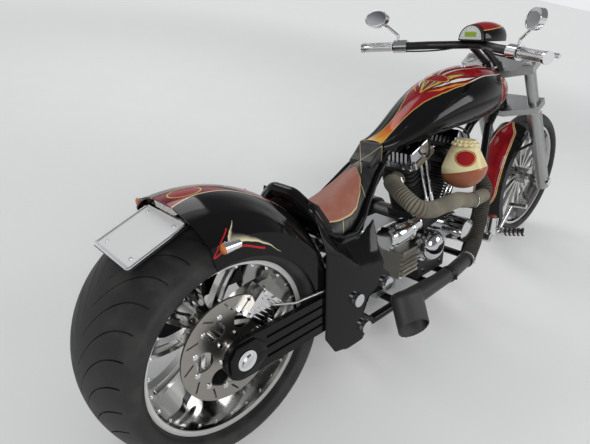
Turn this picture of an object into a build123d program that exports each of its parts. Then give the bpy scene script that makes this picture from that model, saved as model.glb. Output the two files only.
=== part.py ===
from build123d import *
import os
from math import cos, radians, sin, sqrt, tan

# Long, low custom motorcycle with a very wide rear tyre, parked on its side stand.
# Everything is drawn on an upright machine: X forward, Y to the left, Z up, millimetres,
# X = 0 over the rear axle and Z = 0 on the ground. PARKED then leans it onto the stand.

os.makedirs("parts", exist_ok=True)

# Driving dimensions
WHEELBASE = 2050
RAKE = 36
LEAN = 15
REST_STEER = -3.5

# Tyres: outer radius, width, radius of the tread's crown
REAR_R, REAR_W, REAR_CROWN = 334, 340, 300
FRONT_R, FRONT_W, FRONT_CROWN = 346, 124, 66
TREAD_SHARE = 0.93
TYRE_WALL = 12

# Rims: outer radius at the flange, half width over the flanges
REAR_WALL, FRONT_WALL = 91, 67
REAR_RIM_R, REAR_RIM_HALF = REAR_R - REAR_WALL, 136
FRONT_RIM_R, FRONT_RIM_HALF = FRONT_R - FRONT_WALL, 44
RIM_WALL = 5
RIM_LIP = 13

# Axles and running fits
REAR_AXLE_R = 12.5
FRONT_AXLE_R = 12.5
FIT = 0.05
HUB_R = 42

# Brake discs: outer and inner radius, thickness
REAR_DISC_R, REAR_DISC_IN, REAR_DISC_T = 146, 104, 6
FRONT_DISC_R, FRONT_DISC_IN, FRONT_DISC_T = 146, 112, 5
REAR_DISC_Y = -131
FRONT_DISC_Y = 62

# Steering: distance of the fork ahead of its axis, spread of the legs
FORK_OFFSET = 50
FORK_SPREAD = 264
FORK_TUBE_R = 24
FORK_LEG_R = 31
STEM_R = 14
HEAD_R = 32
HEAD_LOW, HEAD_HIGH = 555, 735
CLAMP_T = 34

# Engine
ENGINE_X, CRANK_Z = 1050, 310
CYLINDER_TILT = 22.5
BARREL_R, FIN_HALF = 52, 70
DECK, HEAD_FROM, HEAD_TOP = 135, 285, 365
ROCKER_TOP = 424
GEAR_X, GEAR_Z = 770, 325

SEAT_GAP = 0.3
ARM_T = 17
PANEL_INNER, PANEL_T = {-1: 197, 1: 241}, 5
RAIL_Y, RAIL_R = 118, 17


def crown_drop(radius, half):
    """Fall of a round crown at a distance from the wheel's middle."""
    return radius - sqrt(radius**2 - half**2)


def tube(points, bend, radius):
    """Add a round tube of straight runs joined by arcs to the part being built."""
    with BuildLine() as route:
        FilletPolyline(*points, radius=bend)
    with BuildSketch(Plane(origin=route.line @ 0, z_dir=route.line % 0)) as section:
        Circle(radius)
    sweep(section.sketch, path=route.line)


def rod(start, end, radius, top=None, mode=Mode.ADD):
    """Add or cut a straight round bar, tapered when a second radius is given."""
    a, b = Vector(*start), Vector(*end)
    with Locations(Plane(origin=(a + b) / 2, z_dir=b - a)):
        if top is None:
            Cylinder(radius, (b - a).length, mode=mode)
        else:
            Cone(radius, top, (b - a).length, mode=mode)


def side(y):
    """A plane seen from the right side of the machine, at a distance from its middle."""
    return Plane(origin=(0, y, 0), x_dir=(1, 0, 0), z_dir=(0, -1, 0))


def build_tyre(radius, width, crown, rim_r, rim_half):
    """A hollow tyre about the Y axis, open towards the rim between its beads."""
    tread = width / 2 * TREAD_SHARE
    shoulder = radius - crown_drop(crown, tread)
    bulge = (rim_r + shoulder) / 2
    inner = width / 2 - TYRE_WALL
    bead = rim_r - RIM_LIP + SEAT_GAP / 2
    bead_in, bead_out = rim_half - RIM_LIP - TYRE_WALL, rim_half - RIM_LIP - 1
    with BuildPart() as tyre:
        with BuildSketch(Plane.YZ):
            with BuildLine():
                for facing in (-1, 1):
                    ThreePointArc((facing * tread, shoulder), (facing * width / 2, bulge),
                                  (facing * (rim_half + 1), rim_r + 1.5))
                    Polyline((facing * (rim_half + 1), rim_r + 1.5), (facing * (rim_half - RIM_WALL - 2), rim_r + 1),
                             (facing * bead_out, bead), (facing * bead_in, bead), (facing * inner, bulge),
                             (facing * (tread - TYRE_WALL), shoulder - TYRE_WALL))
                ThreePointArc((-tread, shoulder), (0, radius), (tread, shoulder))
                ThreePointArc((TYRE_WALL - tread, shoulder - TYRE_WALL), (0, radius - TYRE_WALL),
                              (tread - TYRE_WALL, shoulder - TYRE_WALL))
            make_face()
        revolve(axis=Axis.Y)
    return tyre


rear_tyre = build_tyre(REAR_R, REAR_W, REAR_CROWN, REAR_RIM_R, REAR_RIM_HALF)
front_tyre = build_tyre(FRONT_R, FRONT_W, FRONT_CROWN, FRONT_RIM_R, FRONT_RIM_HALF)


def rim_barrel(rim_r, rim_half):
    """Add a rolled rim about the Y axis: two lips and the wall between them."""
    lip_in = rim_r - RIM_LIP
    wall = lip_in - RIM_WALL
    with BuildSketch(Plane.YZ) as section:
        with BuildLine():
            Polyline(
                (-rim_half, rim_r),
                (-rim_half + RIM_WALL, rim_r),
                (-rim_half + RIM_LIP, lip_in),
                (rim_half - RIM_LIP, lip_in),
                (rim_half - RIM_WALL, rim_r),
                (rim_half, rim_r),
                (rim_half, lip_in),
                (rim_half - RIM_LIP, wall),
                (-rim_half + RIM_LIP, wall),
                (-rim_half, lip_in),
                close=True,
            )
        make_face()
    revolve(section.sketch, axis=Axis.Y)


# Rear wheel: one deep machined rim, a hub and curved spokes, each with a long slot
REAR_SPOKES = 9
SPOKE_Y, SPOKE_T = -6, 26
SPOKE_IN, SPOKE_OUT = 38, REAR_RIM_R - RIM_LIP - 1
with BuildSketch() as curved_spoke:
    with BuildLine():
        ThreePointArc((SPOKE_IN, -16), (135, 30), (SPOKE_OUT - 6, 26))
        Line((SPOKE_OUT - 6, 26), (SPOKE_OUT - 4, 72))
        ThreePointArc((SPOKE_OUT - 4, 72), (110, 58), (SPOKE_IN - 12, 18))
        Line((SPOKE_IN - 12, 18), (SPOKE_IN, -16))
    make_face()
    SlotArc(ThreePointArc((84, 24), (136, 43), (SPOKE_OUT - 32, 48)), 17, mode=Mode.SUBTRACT)
with BuildPart() as rear_wheel:
    rim_barrel(REAR_RIM_R, REAR_RIM_HALF)
    with BuildSketch(side(SPOKE_Y - SPOKE_T / 2)) as spokes:
        with PolarLocations(0, REAR_SPOKES):
            add(curved_spoke.sketch)
    extrude(spokes.sketch, amount=-SPOKE_T)
    with Locations(Rotation(90, 0, 0)):
        Cylinder(HUB_R, 2 * (abs(REAR_DISC_Y) - REAR_DISC_T / 2))
        Cylinder(REAR_AXLE_R + FIT, 2 * REAR_RIM_HALF, mode=Mode.SUBTRACT)


# Front wheel: a narrow rim on many thin spokes
FRONT_SPOKES = 14
FRONT_HUB_HALF = 58
with BuildSketch() as thin_spoke:
    with BuildLine():
        Polyline((36, -9), (FRONT_RIM_R - 14, 15), (FRONT_RIM_R - 14, 29), (36, 9), close=True)
    make_face()
with BuildPart() as front_wheel:
    rim_barrel(FRONT_RIM_R, FRONT_RIM_HALF)
    with BuildSketch(side(-9)) as spokes:
        with PolarLocations(0, FRONT_SPOKES):
            add(thin_spoke.sketch)
    extrude(spokes.sketch, amount=-18)
    with Locations(Rotation(90, 0, 0)):
        Cylinder(HUB_R, 2 * FRONT_HUB_HALF)
        Cylinder(FRONT_AXLE_R + FIT, 2 * FRONT_HUB_HALF, mode=Mode.SUBTRACT)


def build_disc(outer, inner, thick, at_y, slots):
    """A slotted brake ring on a scalloped carrier, about the Y axis."""
    with BuildPart() as disc:
        with BuildSketch(side(at_y - thick / 2)) as ring:
            Circle(outer)
            Circle(inner, mode=Mode.SUBTRACT)
            with PolarLocations((outer + inner) / 2, slots):
                SlotOverall(outer - inner - 8, 5, rotation=38, mode=Mode.SUBTRACT)
        extrude(ring.sketch, amount=-thick)
        with BuildSketch(side(at_y - thick / 2 + 1)) as carrier:
            Circle(inner + 1)
            with PolarLocations(inner - 22, 6):
                Circle(27, mode=Mode.SUBTRACT)
            Circle(FRONT_AXLE_R + FIT, mode=Mode.SUBTRACT)
        extrude(carrier.sketch, amount=2 - thick)
    return disc


rear_disc = build_disc(REAR_DISC_R, REAR_DISC_IN, REAR_DISC_T, REAR_DISC_Y, 12)
front_disc = build_disc(FRONT_DISC_R, FRONT_DISC_IN, FRONT_DISC_T, FRONT_DISC_Y, 12)

# Belt pulley outboard of the tyre, on a spacer from the rear hub
PULLEY_R, PULLEY_Y, PULLEY_W = 120, 200, 28
HUB_END = abs(REAR_DISC_Y) - REAR_DISC_T / 2
with BuildPart() as rear_pulley:
    with BuildSketch(side(PULLEY_Y + PULLEY_W / 2)) as face:
        Circle(PULLEY_R)
        with PolarLocations(74, 5):
            Circle(25, mode=Mode.SUBTRACT)
    extrude(face.sketch, amount=PULLEY_W)
    with BuildSketch(side(PULLEY_Y + PULLEY_W / 2)) as dish:
        Circle(PULLEY_R - 12)
        Circle(40, mode=Mode.SUBTRACT)
    extrude(dish.sketch, amount=9, mode=Mode.SUBTRACT)
    rod((0, HUB_END, 0), (0, PULLEY_Y, 0), HUB_R)
    with Locations(Location((0, PULLEY_Y, 0), (90, 0, 0))):
        Cylinder(REAR_AXLE_R + FIT, 4 * PULLEY_W + 2 * HUB_END, mode=Mode.SUBTRACT)

# Swinging arm: a ribbed plate on each side, a cross tube ahead of the tyre, and axle clamps
PIVOT_X, PIVOT_Z = 430, 330
PIVOT_R = 18
ARM_HALF = 58
ARM_INNER = {-1: 176, 1: 220}
CROSS_X, CROSS_R = 385, 20
FENDER_HALF, TAB_X, TAB_T = 184, 290, 3
with BuildPart() as swingarm:
    for facing, near in ARM_INNER.items():
        with BuildSketch(side(facing * near)) as arm:
            with BuildLine():
                Line((0, REAR_R - ARM_HALF), (PIVOT_X, PIVOT_Z - ARM_HALF))
                ThreePointArc((PIVOT_X, PIVOT_Z - ARM_HALF), (PIVOT_X + ARM_HALF, PIVOT_Z),
                              (PIVOT_X, PIVOT_Z + ARM_HALF))
                Line((PIVOT_X, PIVOT_Z + ARM_HALF), (0, REAR_R + ARM_HALF))
                ThreePointArc((0, REAR_R + ARM_HALF), (-ARM_HALF, REAR_R), (0, REAR_R - ARM_HALF))
            make_face()
        extrude(arm.sketch, amount=-facing * ARM_T)
        for level in (-30, 0, 30):
            with Locations((PIVOT_X * 0.52, facing * (near + ARM_T - 2.5), REAR_R + level)):
                Box(PIVOT_X * 0.72, 5, 9, mode=Mode.SUBTRACT)
        with Locations(Location((0, facing * near, REAR_R), (90, 0, 0))):
            Cylinder(REAR_AXLE_R, 3 * ARM_T, mode=Mode.SUBTRACT)
    rod((CROSS_X, -ARM_INNER[-1] - 1, PIVOT_Z), (CROSS_X, ARM_INNER[1] + 1, PIVOT_Z), CROSS_R)
    for facing, near in ARM_INNER.items():
        with Locations((TAB_X, facing * (FENDER_HALF + SEAT_GAP + TAB_T / 2), REAR_R + ARM_HALF + 8)):
            Box(40, TAB_T, 36)
        with Locations((TAB_X, facing * (near + FENDER_HALF + 4) / 2, REAR_R + ARM_HALF - 6)):
            Box(40, abs(near - FENDER_HALF) + 3, 8)

# Rear axle through both arms, with polished end caps and spacers up to the hub
CAP_R, CAP_T = 28, 9
ARM_OUT = {facing: near + ARM_T for facing, near in ARM_INNER.items()}
with BuildPart() as rear_axle:
    rod((0, -ARM_OUT[-1], 0), (0, ARM_OUT[1], 0), REAR_AXLE_R)
    rod((0, -ARM_OUT[-1] - CAP_T, 0), (0, -ARM_OUT[-1], 0), CAP_R)
    rod((0, ARM_OUT[1], 0), (0, ARM_OUT[1] + CAP_T, 0), CAP_R)
    rod((0, -ARM_INNER[-1], 0), (0, REAR_DISC_Y - REAR_DISC_T / 2 - SEAT_GAP, 0), 22)

# Side stand: its place on the left rail, how far it reaches, and its pin
STAND_PIVOT = (760, 158, 112)
STAND_REACH, STAND_FORWARD = 226, 40
STAND_PIN_R, BOSS_R, BOSS_T = 8, 17, 22

# Steering axis in the machine's middle plane
AXIS_UP = Vector(-sin(radians(RAKE)), 0, cos(radians(RAKE)))
AXIS_AHEAD = Vector(cos(radians(RAKE)), 0, sin(radians(RAKE)))

# How the machine is set down: leaned on its stand, both tyres on the ground
lean, steer = radians(LEAN), radians(REST_STEER)
LIFT = (REAR_R - REAR_CROWN) * cos(lean) + REAR_CROWN - REAR_R * cos(lean)
wheel_tilt = cos(steer) * sin(lean) + sin(steer) * sin(radians(RAKE)) * cos(lean)
front_height = (FRONT_R - FRONT_CROWN) * sqrt(1 - wheel_tilt**2) + FRONT_CROWN
AXLE_Z = (front_height - LIFT + FORK_OFFSET * sin(steer) * sin(lean)) / cos(lean)
AXLE_Z += FORK_OFFSET * (1 - cos(steer)) * sin(radians(RAKE))
AXIS_FOOT = Vector(WHEELBASE, 0, AXLE_Z) - AXIS_AHEAD * FORK_OFFSET


def fork(s, ahead=0.0, y=0.0):
    """A point at a height along the steering axis above the front axle, ahead of it and to the left."""
    return AXIS_FOOT + AXIS_UP * s + AXIS_AHEAD * ahead + Vector(0, y, 0)


def across_axis(s):
    """A plane square to the steering axis, its X ahead and its Y to the left."""
    return Plane(origin=fork(s), x_dir=AXIS_AHEAD, z_dir=AXIS_UP)


# Cradle: two tube loops beside the engine, cut to the steering head and the backbone, with their bosses
BACKBONE_R = 20
SIDE_BOSSES = ((464, 420, 6), (470, 190, 10))
RAIL_Z = 120
DOWN_X, HEAD_X = WHEELBASE - 790, WHEELBASE - 550
TUBE_END_Y = RAIL_R + SEAT_GAP
SPINE_FOOT = ((640, 0, 500), (560, 0, 380), (PIVOT_X + 8, 0, PIVOT_Z + 4))
with BuildPart() as cradle_tubes:
    for facing in (-1, 1):
        rail = facing * RAIL_Y
        tube([fork(600, -8, facing * TUBE_END_Y), (HEAD_X, facing * 40, 690), (DOWN_X + 70, rail, 330),
              (DOWN_X, rail, RAIL_Z), (600, rail, RAIL_Z), (470, rail, 210), (440, rail, 400),
              (486, facing * 96, 446), (606, facing * TUBE_END_Y, 452)], 36, RAIL_R)
        for x, z, radius in SIDE_BOSSES:
            rod((x, rail, z), (x, facing * (PANEL_INNER[facing] - SEAT_GAP), z), radius)
        rod((PIVOT_X, rail, PIVOT_Z), (PIVOT_X, facing * (ARM_INNER[facing] - SEAT_GAP), PIVOT_Z), PIVOT_R)
    rod(fork(HEAD_LOW - 60), fork(HEAD_HIGH + 60), HEAD_R + SEAT_GAP, mode=Mode.SUBTRACT)
    rod(SPINE_FOOT[0], SPINE_FOOT[1], BACKBONE_R + SEAT_GAP, mode=Mode.SUBTRACT)
    x, y, z = STAND_PIVOT
    with Locations((x, (RAIL_Y + y + BOSS_R) / 2, z + BOSS_T / 2 + SEAT_GAP + 5)):
        Box(2 * BOSS_R, y + BOSS_R - RAIL_Y, 10)
    rod((x, y, z - BOSS_T / 2 - 4), (x, y, z + BOSS_T / 2 + 2), STAND_PIN_R)
    rod((x, y, z - BOSS_T / 2 - 5), (x, y, z - BOSS_T / 2 - SEAT_GAP), STAND_PIN_R + 5)

# Cross tubes between the loops: under the engine and gearbox, and at the front
CROSS_END = RAIL_Y - RAIL_R - SEAT_GAP
with BuildPart() as cross_tubes:
    for x, z in ((DOWN_X + 2, 150), (ENGINE_X - 65, RAIL_Z), (ENGINE_X + 65, RAIL_Z), (GEAR_X, RAIL_Z),
                 (600, RAIL_Z)):
        rod((x, -CROSS_END, z), (x, CROSS_END, z), 15)

# Spine: steering head, backbone with its tank saddles, and the pivot tube at its foot
with BuildPart() as frame:
    rod(fork(HEAD_LOW), fork(HEAD_HIGH), HEAD_R)
    tube([fork(680), (1330, 0, 815), (880, 0, 738), (780, 0, 680), *SPINE_FOOT], 60, BACKBONE_R)
    rod((PIVOT_X, -CROSS_END, PIVOT_Z), (PIVOT_X, CROSS_END, PIVOT_Z), 15)
    for x, backbone, low in ((850, 730, 716), (1380, 823, 762)):
        rod((x, 0, backbone), (x, 0, low - SEAT_GAP - 9), 7)
        rod((x, -56, low - SEAT_GAP - 9), (x, 56, low - SEAT_GAP - 9), 9)
    with Locations(across_axis((HEAD_LOW + HEAD_HIGH) / 2)):
        Cylinder(STEM_R + FIT, HEAD_HIGH - HEAD_LOW + 4, mode=Mode.SUBTRACT)

# Side covers: flat over the swinging arm's front end, drawn in towards the seat's rail above a crease
PANEL = [(277, 700), (277, 249), (320, 180), (385, 158), (452, 158), (480, 188), (456, 262), (484, 312),
         (534, 304), (582, 304), (588, 350), (548, 386), (548, 440), (566, 520), (566, 700)]
# columns: station X, crease Z, rim Z, half width at the rim
COVER = (
    (262, 538, 662, 152),
    (349, 502, 540, 140),
    (419, 440, 494, 135),
    (493, 424, 492, 135),
    (590, 400, 548, 128),
)
with BuildPart() as side_covers:
    for facing, near in PANEL_INNER.items():
        far = near + PANEL_T
        for station, crease, rim, rim_half in COVER:
            with BuildSketch(Plane.YZ.offset(station)):
                with BuildLine():
                    Polyline((facing * near, 100), (facing * far, 100), (facing * far, crease),
                             (facing * (rim_half + PANEL_T), rim),
                             (facing * rim_half, rim), (facing * near, crease), close=True)
                make_face()
        loft(ruled=True)
    with BuildSketch(side(0)) as cover:
        with BuildLine():
            FilletPolyline(*PANEL, radius=14, close=True)
        make_face()
    extrude(cover.sketch, amount=300, both=True, mode=Mode.INTERSECT)

# Rear fender: a round shell about the rear axle, from in front of the tyre to the tail
FENDER_R, FENDER_T = REAR_R + 62, 5
FENDER_SKIRT = FENDER_R - 128
FENDER_FROM, FENDER_TO = 101, 13.5
fender_start = Plane(
    origin=(0, 0, REAR_R),
    x_dir=(cos(radians(FENDER_FROM)), 0, sin(radians(FENDER_FROM))),
    z_dir=(-sin(radians(FENDER_FROM)), 0, cos(radians(FENDER_FROM))),
)
with BuildPart() as rear_fender:
    with BuildSketch(fender_start) as section:
        with BuildLine() as outline:
            Polyline((FENDER_SKIRT, -FENDER_HALF), (FENDER_R - 70, -FENDER_HALF))
            ThreePointArc((FENDER_R - 70, -FENDER_HALF), (FENDER_R, 0), (FENDER_R - 70, FENDER_HALF))
            Polyline((FENDER_R - 70, FENDER_HALF), (FENDER_SKIRT, FENDER_HALF))
            Line((FENDER_SKIRT, FENDER_HALF), (FENDER_SKIRT, FENDER_HALF - FENDER_T))
            Line((FENDER_SKIRT, FENDER_HALF - FENDER_T), (FENDER_R - 72, FENDER_HALF - FENDER_T))
            ThreePointArc((FENDER_R - 72, FENDER_HALF - FENDER_T), (FENDER_R - FENDER_T, 0),
                          (FENDER_R - 72, FENDER_T - FENDER_HALF))
            Line((FENDER_R - 72, FENDER_T - FENDER_HALF), (FENDER_SKIRT, FENDER_T - FENDER_HALF))
            Line((FENDER_SKIRT, FENDER_T - FENDER_HALF), (FENDER_SKIRT, -FENDER_HALF))
        make_face()
    revolve(section.sketch, axis=Axis((0, 0, REAR_R), (0, 1, 0)), revolution_arc=FENDER_FROM - FENDER_TO)


# Tail lamp under the fender's tip, plate bracket, plate and two small turn signals
def about_axle(angle, radius):
    """A plane at an angle and radius about the rear axle: X along Y, Z pointing outwards."""
    out = Vector(cos(radians(angle)), 0, sin(radians(angle)))
    return Plane(origin=Vector(0, 0, REAR_R) + out * radius, x_dir=(0, 1, 0), z_dir=out)


with BuildPart() as tail_lamp:
    with BuildSketch(about_axle(FENDER_FROM - 2, FENDER_R - FENDER_T - 23)):
        RectangleRounded(100, 24, 10)
    extrude(amount=17.8)

PLATE_W, PLATE_H, PLATE_T, PLATE_TILT = 182, 155, 2, 22
PLATE_FACING = (-sin(radians(PLATE_TILT)), 0, cos(radians(PLATE_TILT)))
plate_plane = Plane(origin=(-136, 0, 655), x_dir=(0, 1, 0), z_dir=PLATE_FACING)
with BuildPart() as number_plate:
    with BuildSketch(plate_plane):
        RectangleRounded(PLATE_W, PLATE_H, 8)
    extrude(amount=PLATE_T)

# The bracket hangs on two struts from inside the fender's tail and runs back under the plate
STRUT_Y = 70
with BuildPart() as plate_bracket:
    with BuildSketch(plate_plane.offset(-3 - SEAT_GAP)):
        RectangleRounded(PLATE_W + 14, PLATE_H + 14, 10)
    extrude(amount=3)
    for y in (-STRUT_Y, STRUT_Y):
        rod((-40, y, 711.8), (-42, y, 675), 5)
        rod((-38, y, 678.6), (-80, y, 671), 5)

with BuildPart() as turn_signals:
    for facing in (-1, 1):
        rod((-24, facing * (FENDER_HALF + SEAT_GAP), 656), (-24, facing * (FENDER_HALF + 18), 656), 5)
        rod((-4, facing * (FENDER_HALF + 24), 658), (-46, facing * (FENDER_HALF + 24), 658), 10, 14)

# Seat shell: the low black body between tank and fender, with a raised rail and a padded roll behind
RAIL_TRIM_R, ROLL_R = 7, 21
# columns: station X, half width at the rail, rail Z, underside Z
SHELL = (
    (352, 128, 545, 522),
    (392, 130, 520, 490),
    (436, 130, 502, 480),
    (493, 130, 500, 478),
    (543, 120, 532, 492),
    (580, 104, 567, 520),
    (620, 90, 602, 560),
    (664, 76, 640, 602),
    (712, 66, 672, 636),
)
ROLL = ((356, 122, 545), (322, 98, 612), (305, 42, 654))
with BuildPart() as seat_shell:
    for station, half, rail, under in SHELL:
        with BuildSketch(Plane.YZ.offset(station)):
            with BuildLine():
                Polyline((-half, rail - 5), (-half + 5, rail), (half - 5, rail), (half, rail - 5), (half - 8, under),
                         (8 - half, under), close=True)
            make_face()
    loft(ruled=True)
    for facing in (-1, 1):
        tube([(station, facing * (half - 4), rail + 3) for station, half, rail, under in SHELL], 12, RAIL_TRIM_R)
    tube([(x, -y, z) for x, y, z in ROLL] + [(x, y, z) for x, y, z in reversed(ROLL)], 34, ROLL_R)
    with BuildSketch(side(100)) as backrest:
        with BuildLine():
            Polyline((302, 602), (312, 650), (352, 622), (398, 560), (398, 510), (356, 526), close=True)
        make_face()
    extrude(backrest.sketch, amount=200)

# Seat pad: one crowned leather cushion that fills the shell and rises to the tank's tail
# columns: station X, half width, underside Z, crown Z
PAD = (
    (399, 112, 517.1, 584),
    (436, 113, 502, 588),
    (493, 110, 500, 601),
    (543, 99, 532, 620),
    (580, 88, 567, 636),
    (620, 76, 602, 657),
    (664, 62, 640, 687),
    (704, 52, 666.7, 718),
)
PAD_GAP = 0.4
with BuildPart() as seat_pad:
    for station, half, rail, crown in PAD:
        under = rail + PAD_GAP
        with BuildSketch(Plane.YZ.offset(station)):
            with BuildLine():
                Line((-half, under), (half, under))
                Line((half, under), (half, under + 12))
                ThreePointArc((half, under + 12), (0, crown), (-half, under + 12))
                Line((-half, under + 12), (-half, under))
            make_face()
    loft(ruled=True)

# Fuel tank: sections from its tail over the seat to the nose at the steering head
# columns: station X, half width, bottom Z, top Z
TANK = (
    (712, 54, 706, 740),
    (850, 82, 716, 792),
    (1010, 118, 738, 888),
    (1180, 142, 752, 946),
    (1380, 134, 762, 953),
    (HEAD_X, 104, 776, 930),
)
TUNNEL_HALF = 26
with BuildPart() as fuel_tank:
    for station, half, low, high in TANK:
        rise = high - low
        with BuildSketch(Plane.YZ.offset(station)):
            with BuildLine():
                Line((-half * 0.7, low), (half * 0.7, low))
                ThreePointArc((half * 0.7, low), (half, low + rise * 0.42), (half * 0.62, high - rise * 0.14))
                ThreePointArc((half * 0.62, high - rise * 0.14), (0, high), (-half * 0.62, high - rise * 0.14))
                ThreePointArc((-half * 0.62, high - rise * 0.14), (-half, low + rise * 0.42), (-half * 0.7, low))
            make_face()
    loft()
    with BuildSketch(side(TUNNEL_HALF)) as tunnel:
        with BuildLine():
            Polyline((1620, 600), (1620, 902), (1330, 840), (880, 767), (740, 716), (690, 690), (650, 600), close=True)
        make_face()
    extrude(tunnel.sketch, amount=2 * TUNNEL_HALF, mode=Mode.SUBTRACT)
    for facing in (-1, 1):
        tube([(station, facing * (half * 0.7 + 4), low + 5) for station, half, low, high in TANK], 40, RAIL_TRIM_R)

# Engine cases: one block on two mounts, round at the crank, with the decks of both cylinders
CASE_HALF, CASE_R = 84, 112
MOUNT_TOP = 120 + 15 + SEAT_GAP


def bank(tilt, along, y=0.0, across=0.0):
    """A plane square to one cylinder's axis, at a distance from the crank: X forwards, Y to the left."""
    up = Vector(sin(radians(tilt)), 0, cos(radians(tilt)))
    ahead = Vector(cos(radians(tilt)), 0, -sin(radians(tilt)))
    return Plane(origin=Vector(ENGINE_X, y, CRANK_Z) + up * along + ahead * across, x_dir=ahead, z_dir=up)


TILTS = (-CYLINDER_TILT, CYLINDER_TILT)
with BuildPart() as engine_cases:
    with BuildSketch(side(CASE_HALF)) as profile:
        with Locations((ENGINE_X, CRANK_Z)):
            Circle(CASE_R)
        for tilt in TILTS:
            with Locations(Location((ENGINE_X, CRANK_Z, 0), (0, 0, -tilt))):
                with Locations((0, DECK / 2)):
                    Rectangle(2 * BARREL_R + 12, DECK)
        with Locations((ENGINE_X, (MOUNT_TOP + CRANK_Z - 60) / 2)):
            Rectangle(196, CRANK_Z - 60 - MOUNT_TOP)
    extrude(profile.sketch, amount=2 * CASE_HALF)

# Both cylinders with their cooling fins and heads, cut apart where they meet in the V
FINS, FIN_PITCH, FIN_T = 11, 12, 4
HEAD_HALF = 72
V_GAP = 1.0
with BuildPart() as cylinders:
    for tilt in TILTS:
        with BuildSketch(bank(tilt, DECK + SEAT_GAP)) as barrel:
            Circle(BARREL_R)
        extrude(barrel.sketch, amount=HEAD_FROM + 5 - DECK)
        for fin in range(FINS):
            with BuildSketch(bank(tilt, DECK + 12 + fin * FIN_PITCH)) as plate:
                RectangleRounded(2 * FIN_HALF, 2 * FIN_HALF, 38)
            extrude(plate.sketch, amount=FIN_T)
        with BuildSketch(bank(tilt, HEAD_FROM)) as head:
            RectangleRounded(2 * HEAD_HALF, 2 * HEAD_HALF, 22)
        extrude(head.sketch, amount=HEAD_TOP - HEAD_FROM)
        for groove in range(3):
            with BuildSketch(bank(tilt, HEAD_FROM + 16 + groove * 18)) as ring:
                RectangleRounded(3 * HEAD_HALF, 3 * HEAD_HALF, 22)
                RectangleRounded(2 * HEAD_HALF - 20, 2 * HEAD_HALF - 20, 16, mode=Mode.SUBTRACT)
            extrude(ring.sketch, amount=8, mode=Mode.SUBTRACT)
    with Locations((ENGINE_X, 0, CRANK_Z + 200)):
        Box(2 * V_GAP, 400, 600, mode=Mode.SUBTRACT)

# Rocker covers on the heads, wide enough for the pushrod tubes that come up on the right
ROCKER_FROM = HEAD_TOP + SEAT_GAP
with BuildPart() as rocker_covers:
    for tilt in TILTS:
        with BuildSketch(bank(tilt, ROCKER_FROM)) as box:
            with Locations((0, -8)):
                RectangleRounded(146, 176, 20)
        extrude(box.sketch, amount=24)
        with BuildSketch(bank(tilt, ROCKER_FROM + 24)) as lid:
            with Locations((0, -8)):
                RectangleRounded(134, 164, 20)
        extrude(lid.sketch, amount=ROCKER_TOP - ROCKER_FROM - 24, taper=16)

# Pushrod tubes from the cam chest up to the rocker covers, each with its thicker lower sleeve
TUBE_Y, TUBE_SPREAD, TUBE_R = -83, 16, 6.5
with BuildPart() as pushrod_tubes:
    for tilt in TILTS:
        for spread in (-TUBE_SPREAD, TUBE_SPREAD):
            foot = bank(tilt, DECK + SEAT_GAP, TUBE_Y, spread).origin
            sleeve = bank(tilt, (DECK + HEAD_FROM) / 2, TUBE_Y, spread).origin
            rod(foot, sleeve, TUBE_R + 3)
            rod(sleeve, bank(tilt, ROCKER_FROM - SEAT_GAP, TUBE_Y, spread).origin, TUBE_R)

# Air cleaner: a round bowl under a cone, on the carburettor, which sits on the manifold in the V
BALL = (1056, -166, 618)
BALL_R, BALL_TOP, BALL_BACK = 88, 100, -122
with BuildPart() as air_cleaner:
    with BuildSketch(side(BALL[1])) as profile:
        with BuildLine():
            Line((BALL[0], BALL[2] - BALL_R), (BALL[0], BALL[2] + BALL_TOP))
            ThreePointArc((BALL[0], BALL[2] + BALL_TOP), (BALL[0] + 30, BALL[2] + BALL_TOP - 9), (BALL[0] + 52, BALL[2] + BALL_TOP - 36))
            Line((BALL[0] + 52, BALL[2] + BALL_TOP - 36), (BALL[0] + BALL_R, BALL[2]))
            ThreePointArc((BALL[0] + BALL_R, BALL[2]), (BALL[0] + BALL_R * 0.7071, BALL[2] - BALL_R * 0.7071),
                          (BALL[0], BALL[2] - BALL_R))
        make_face()
    revolve(profile.sketch, axis=Axis((BALL[0], BALL[1], BALL[2]), (0, 0, 1)))
    with Locations((BALL[0], BALL_BACK + 100, BALL[2])):
        Box(400, 200, 400, mode=Mode.SUBTRACT)
PORT_Y, HEAD_MID = -30, (HEAD_FROM + HEAD_TOP) / 2
with BuildPart() as intake:
    apex = bank(-CYLINDER_TILT, HEAD_MID, PORT_Y, HEAD_MID * tan(radians(CYLINDER_TILT))).origin
    for tilt, inwards in zip(TILTS, (1, -1)):
        port = bank(tilt, HEAD_MID, PORT_Y, inwards * (HEAD_HALF + SEAT_GAP)).origin
        rod(port, apex + (apex - port).normalized() * 4, 17)
    rod(apex, (BALL[0], -96, apex.Z), 17)
    rod((BALL[0], -94, apex.Z), (BALL[0], BALL_BACK + SEAT_GAP, apex.Z), 30)

# Primary drive cover on the left, from the crank to the clutch
PRIMARY_IN, PRIMARY_OUT = 222, 266
with BuildPart() as primary_cover:
    with BuildSketch(side(PRIMARY_OUT)) as outline:
        with Locations((ENGINE_X, CRANK_Z)):
            Circle(84)
        with Locations((GEAR_X - 10, GEAR_Z)):
            Circle(104)
        make_hull()
    extrude(outline.sketch, amount=PRIMARY_OUT - PRIMARY_IN)
    rod((ENGINE_X, CASE_HALF + SEAT_GAP, CRANK_Z), (ENGINE_X, PRIMARY_IN + 1, CRANK_Z), 70)

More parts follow.
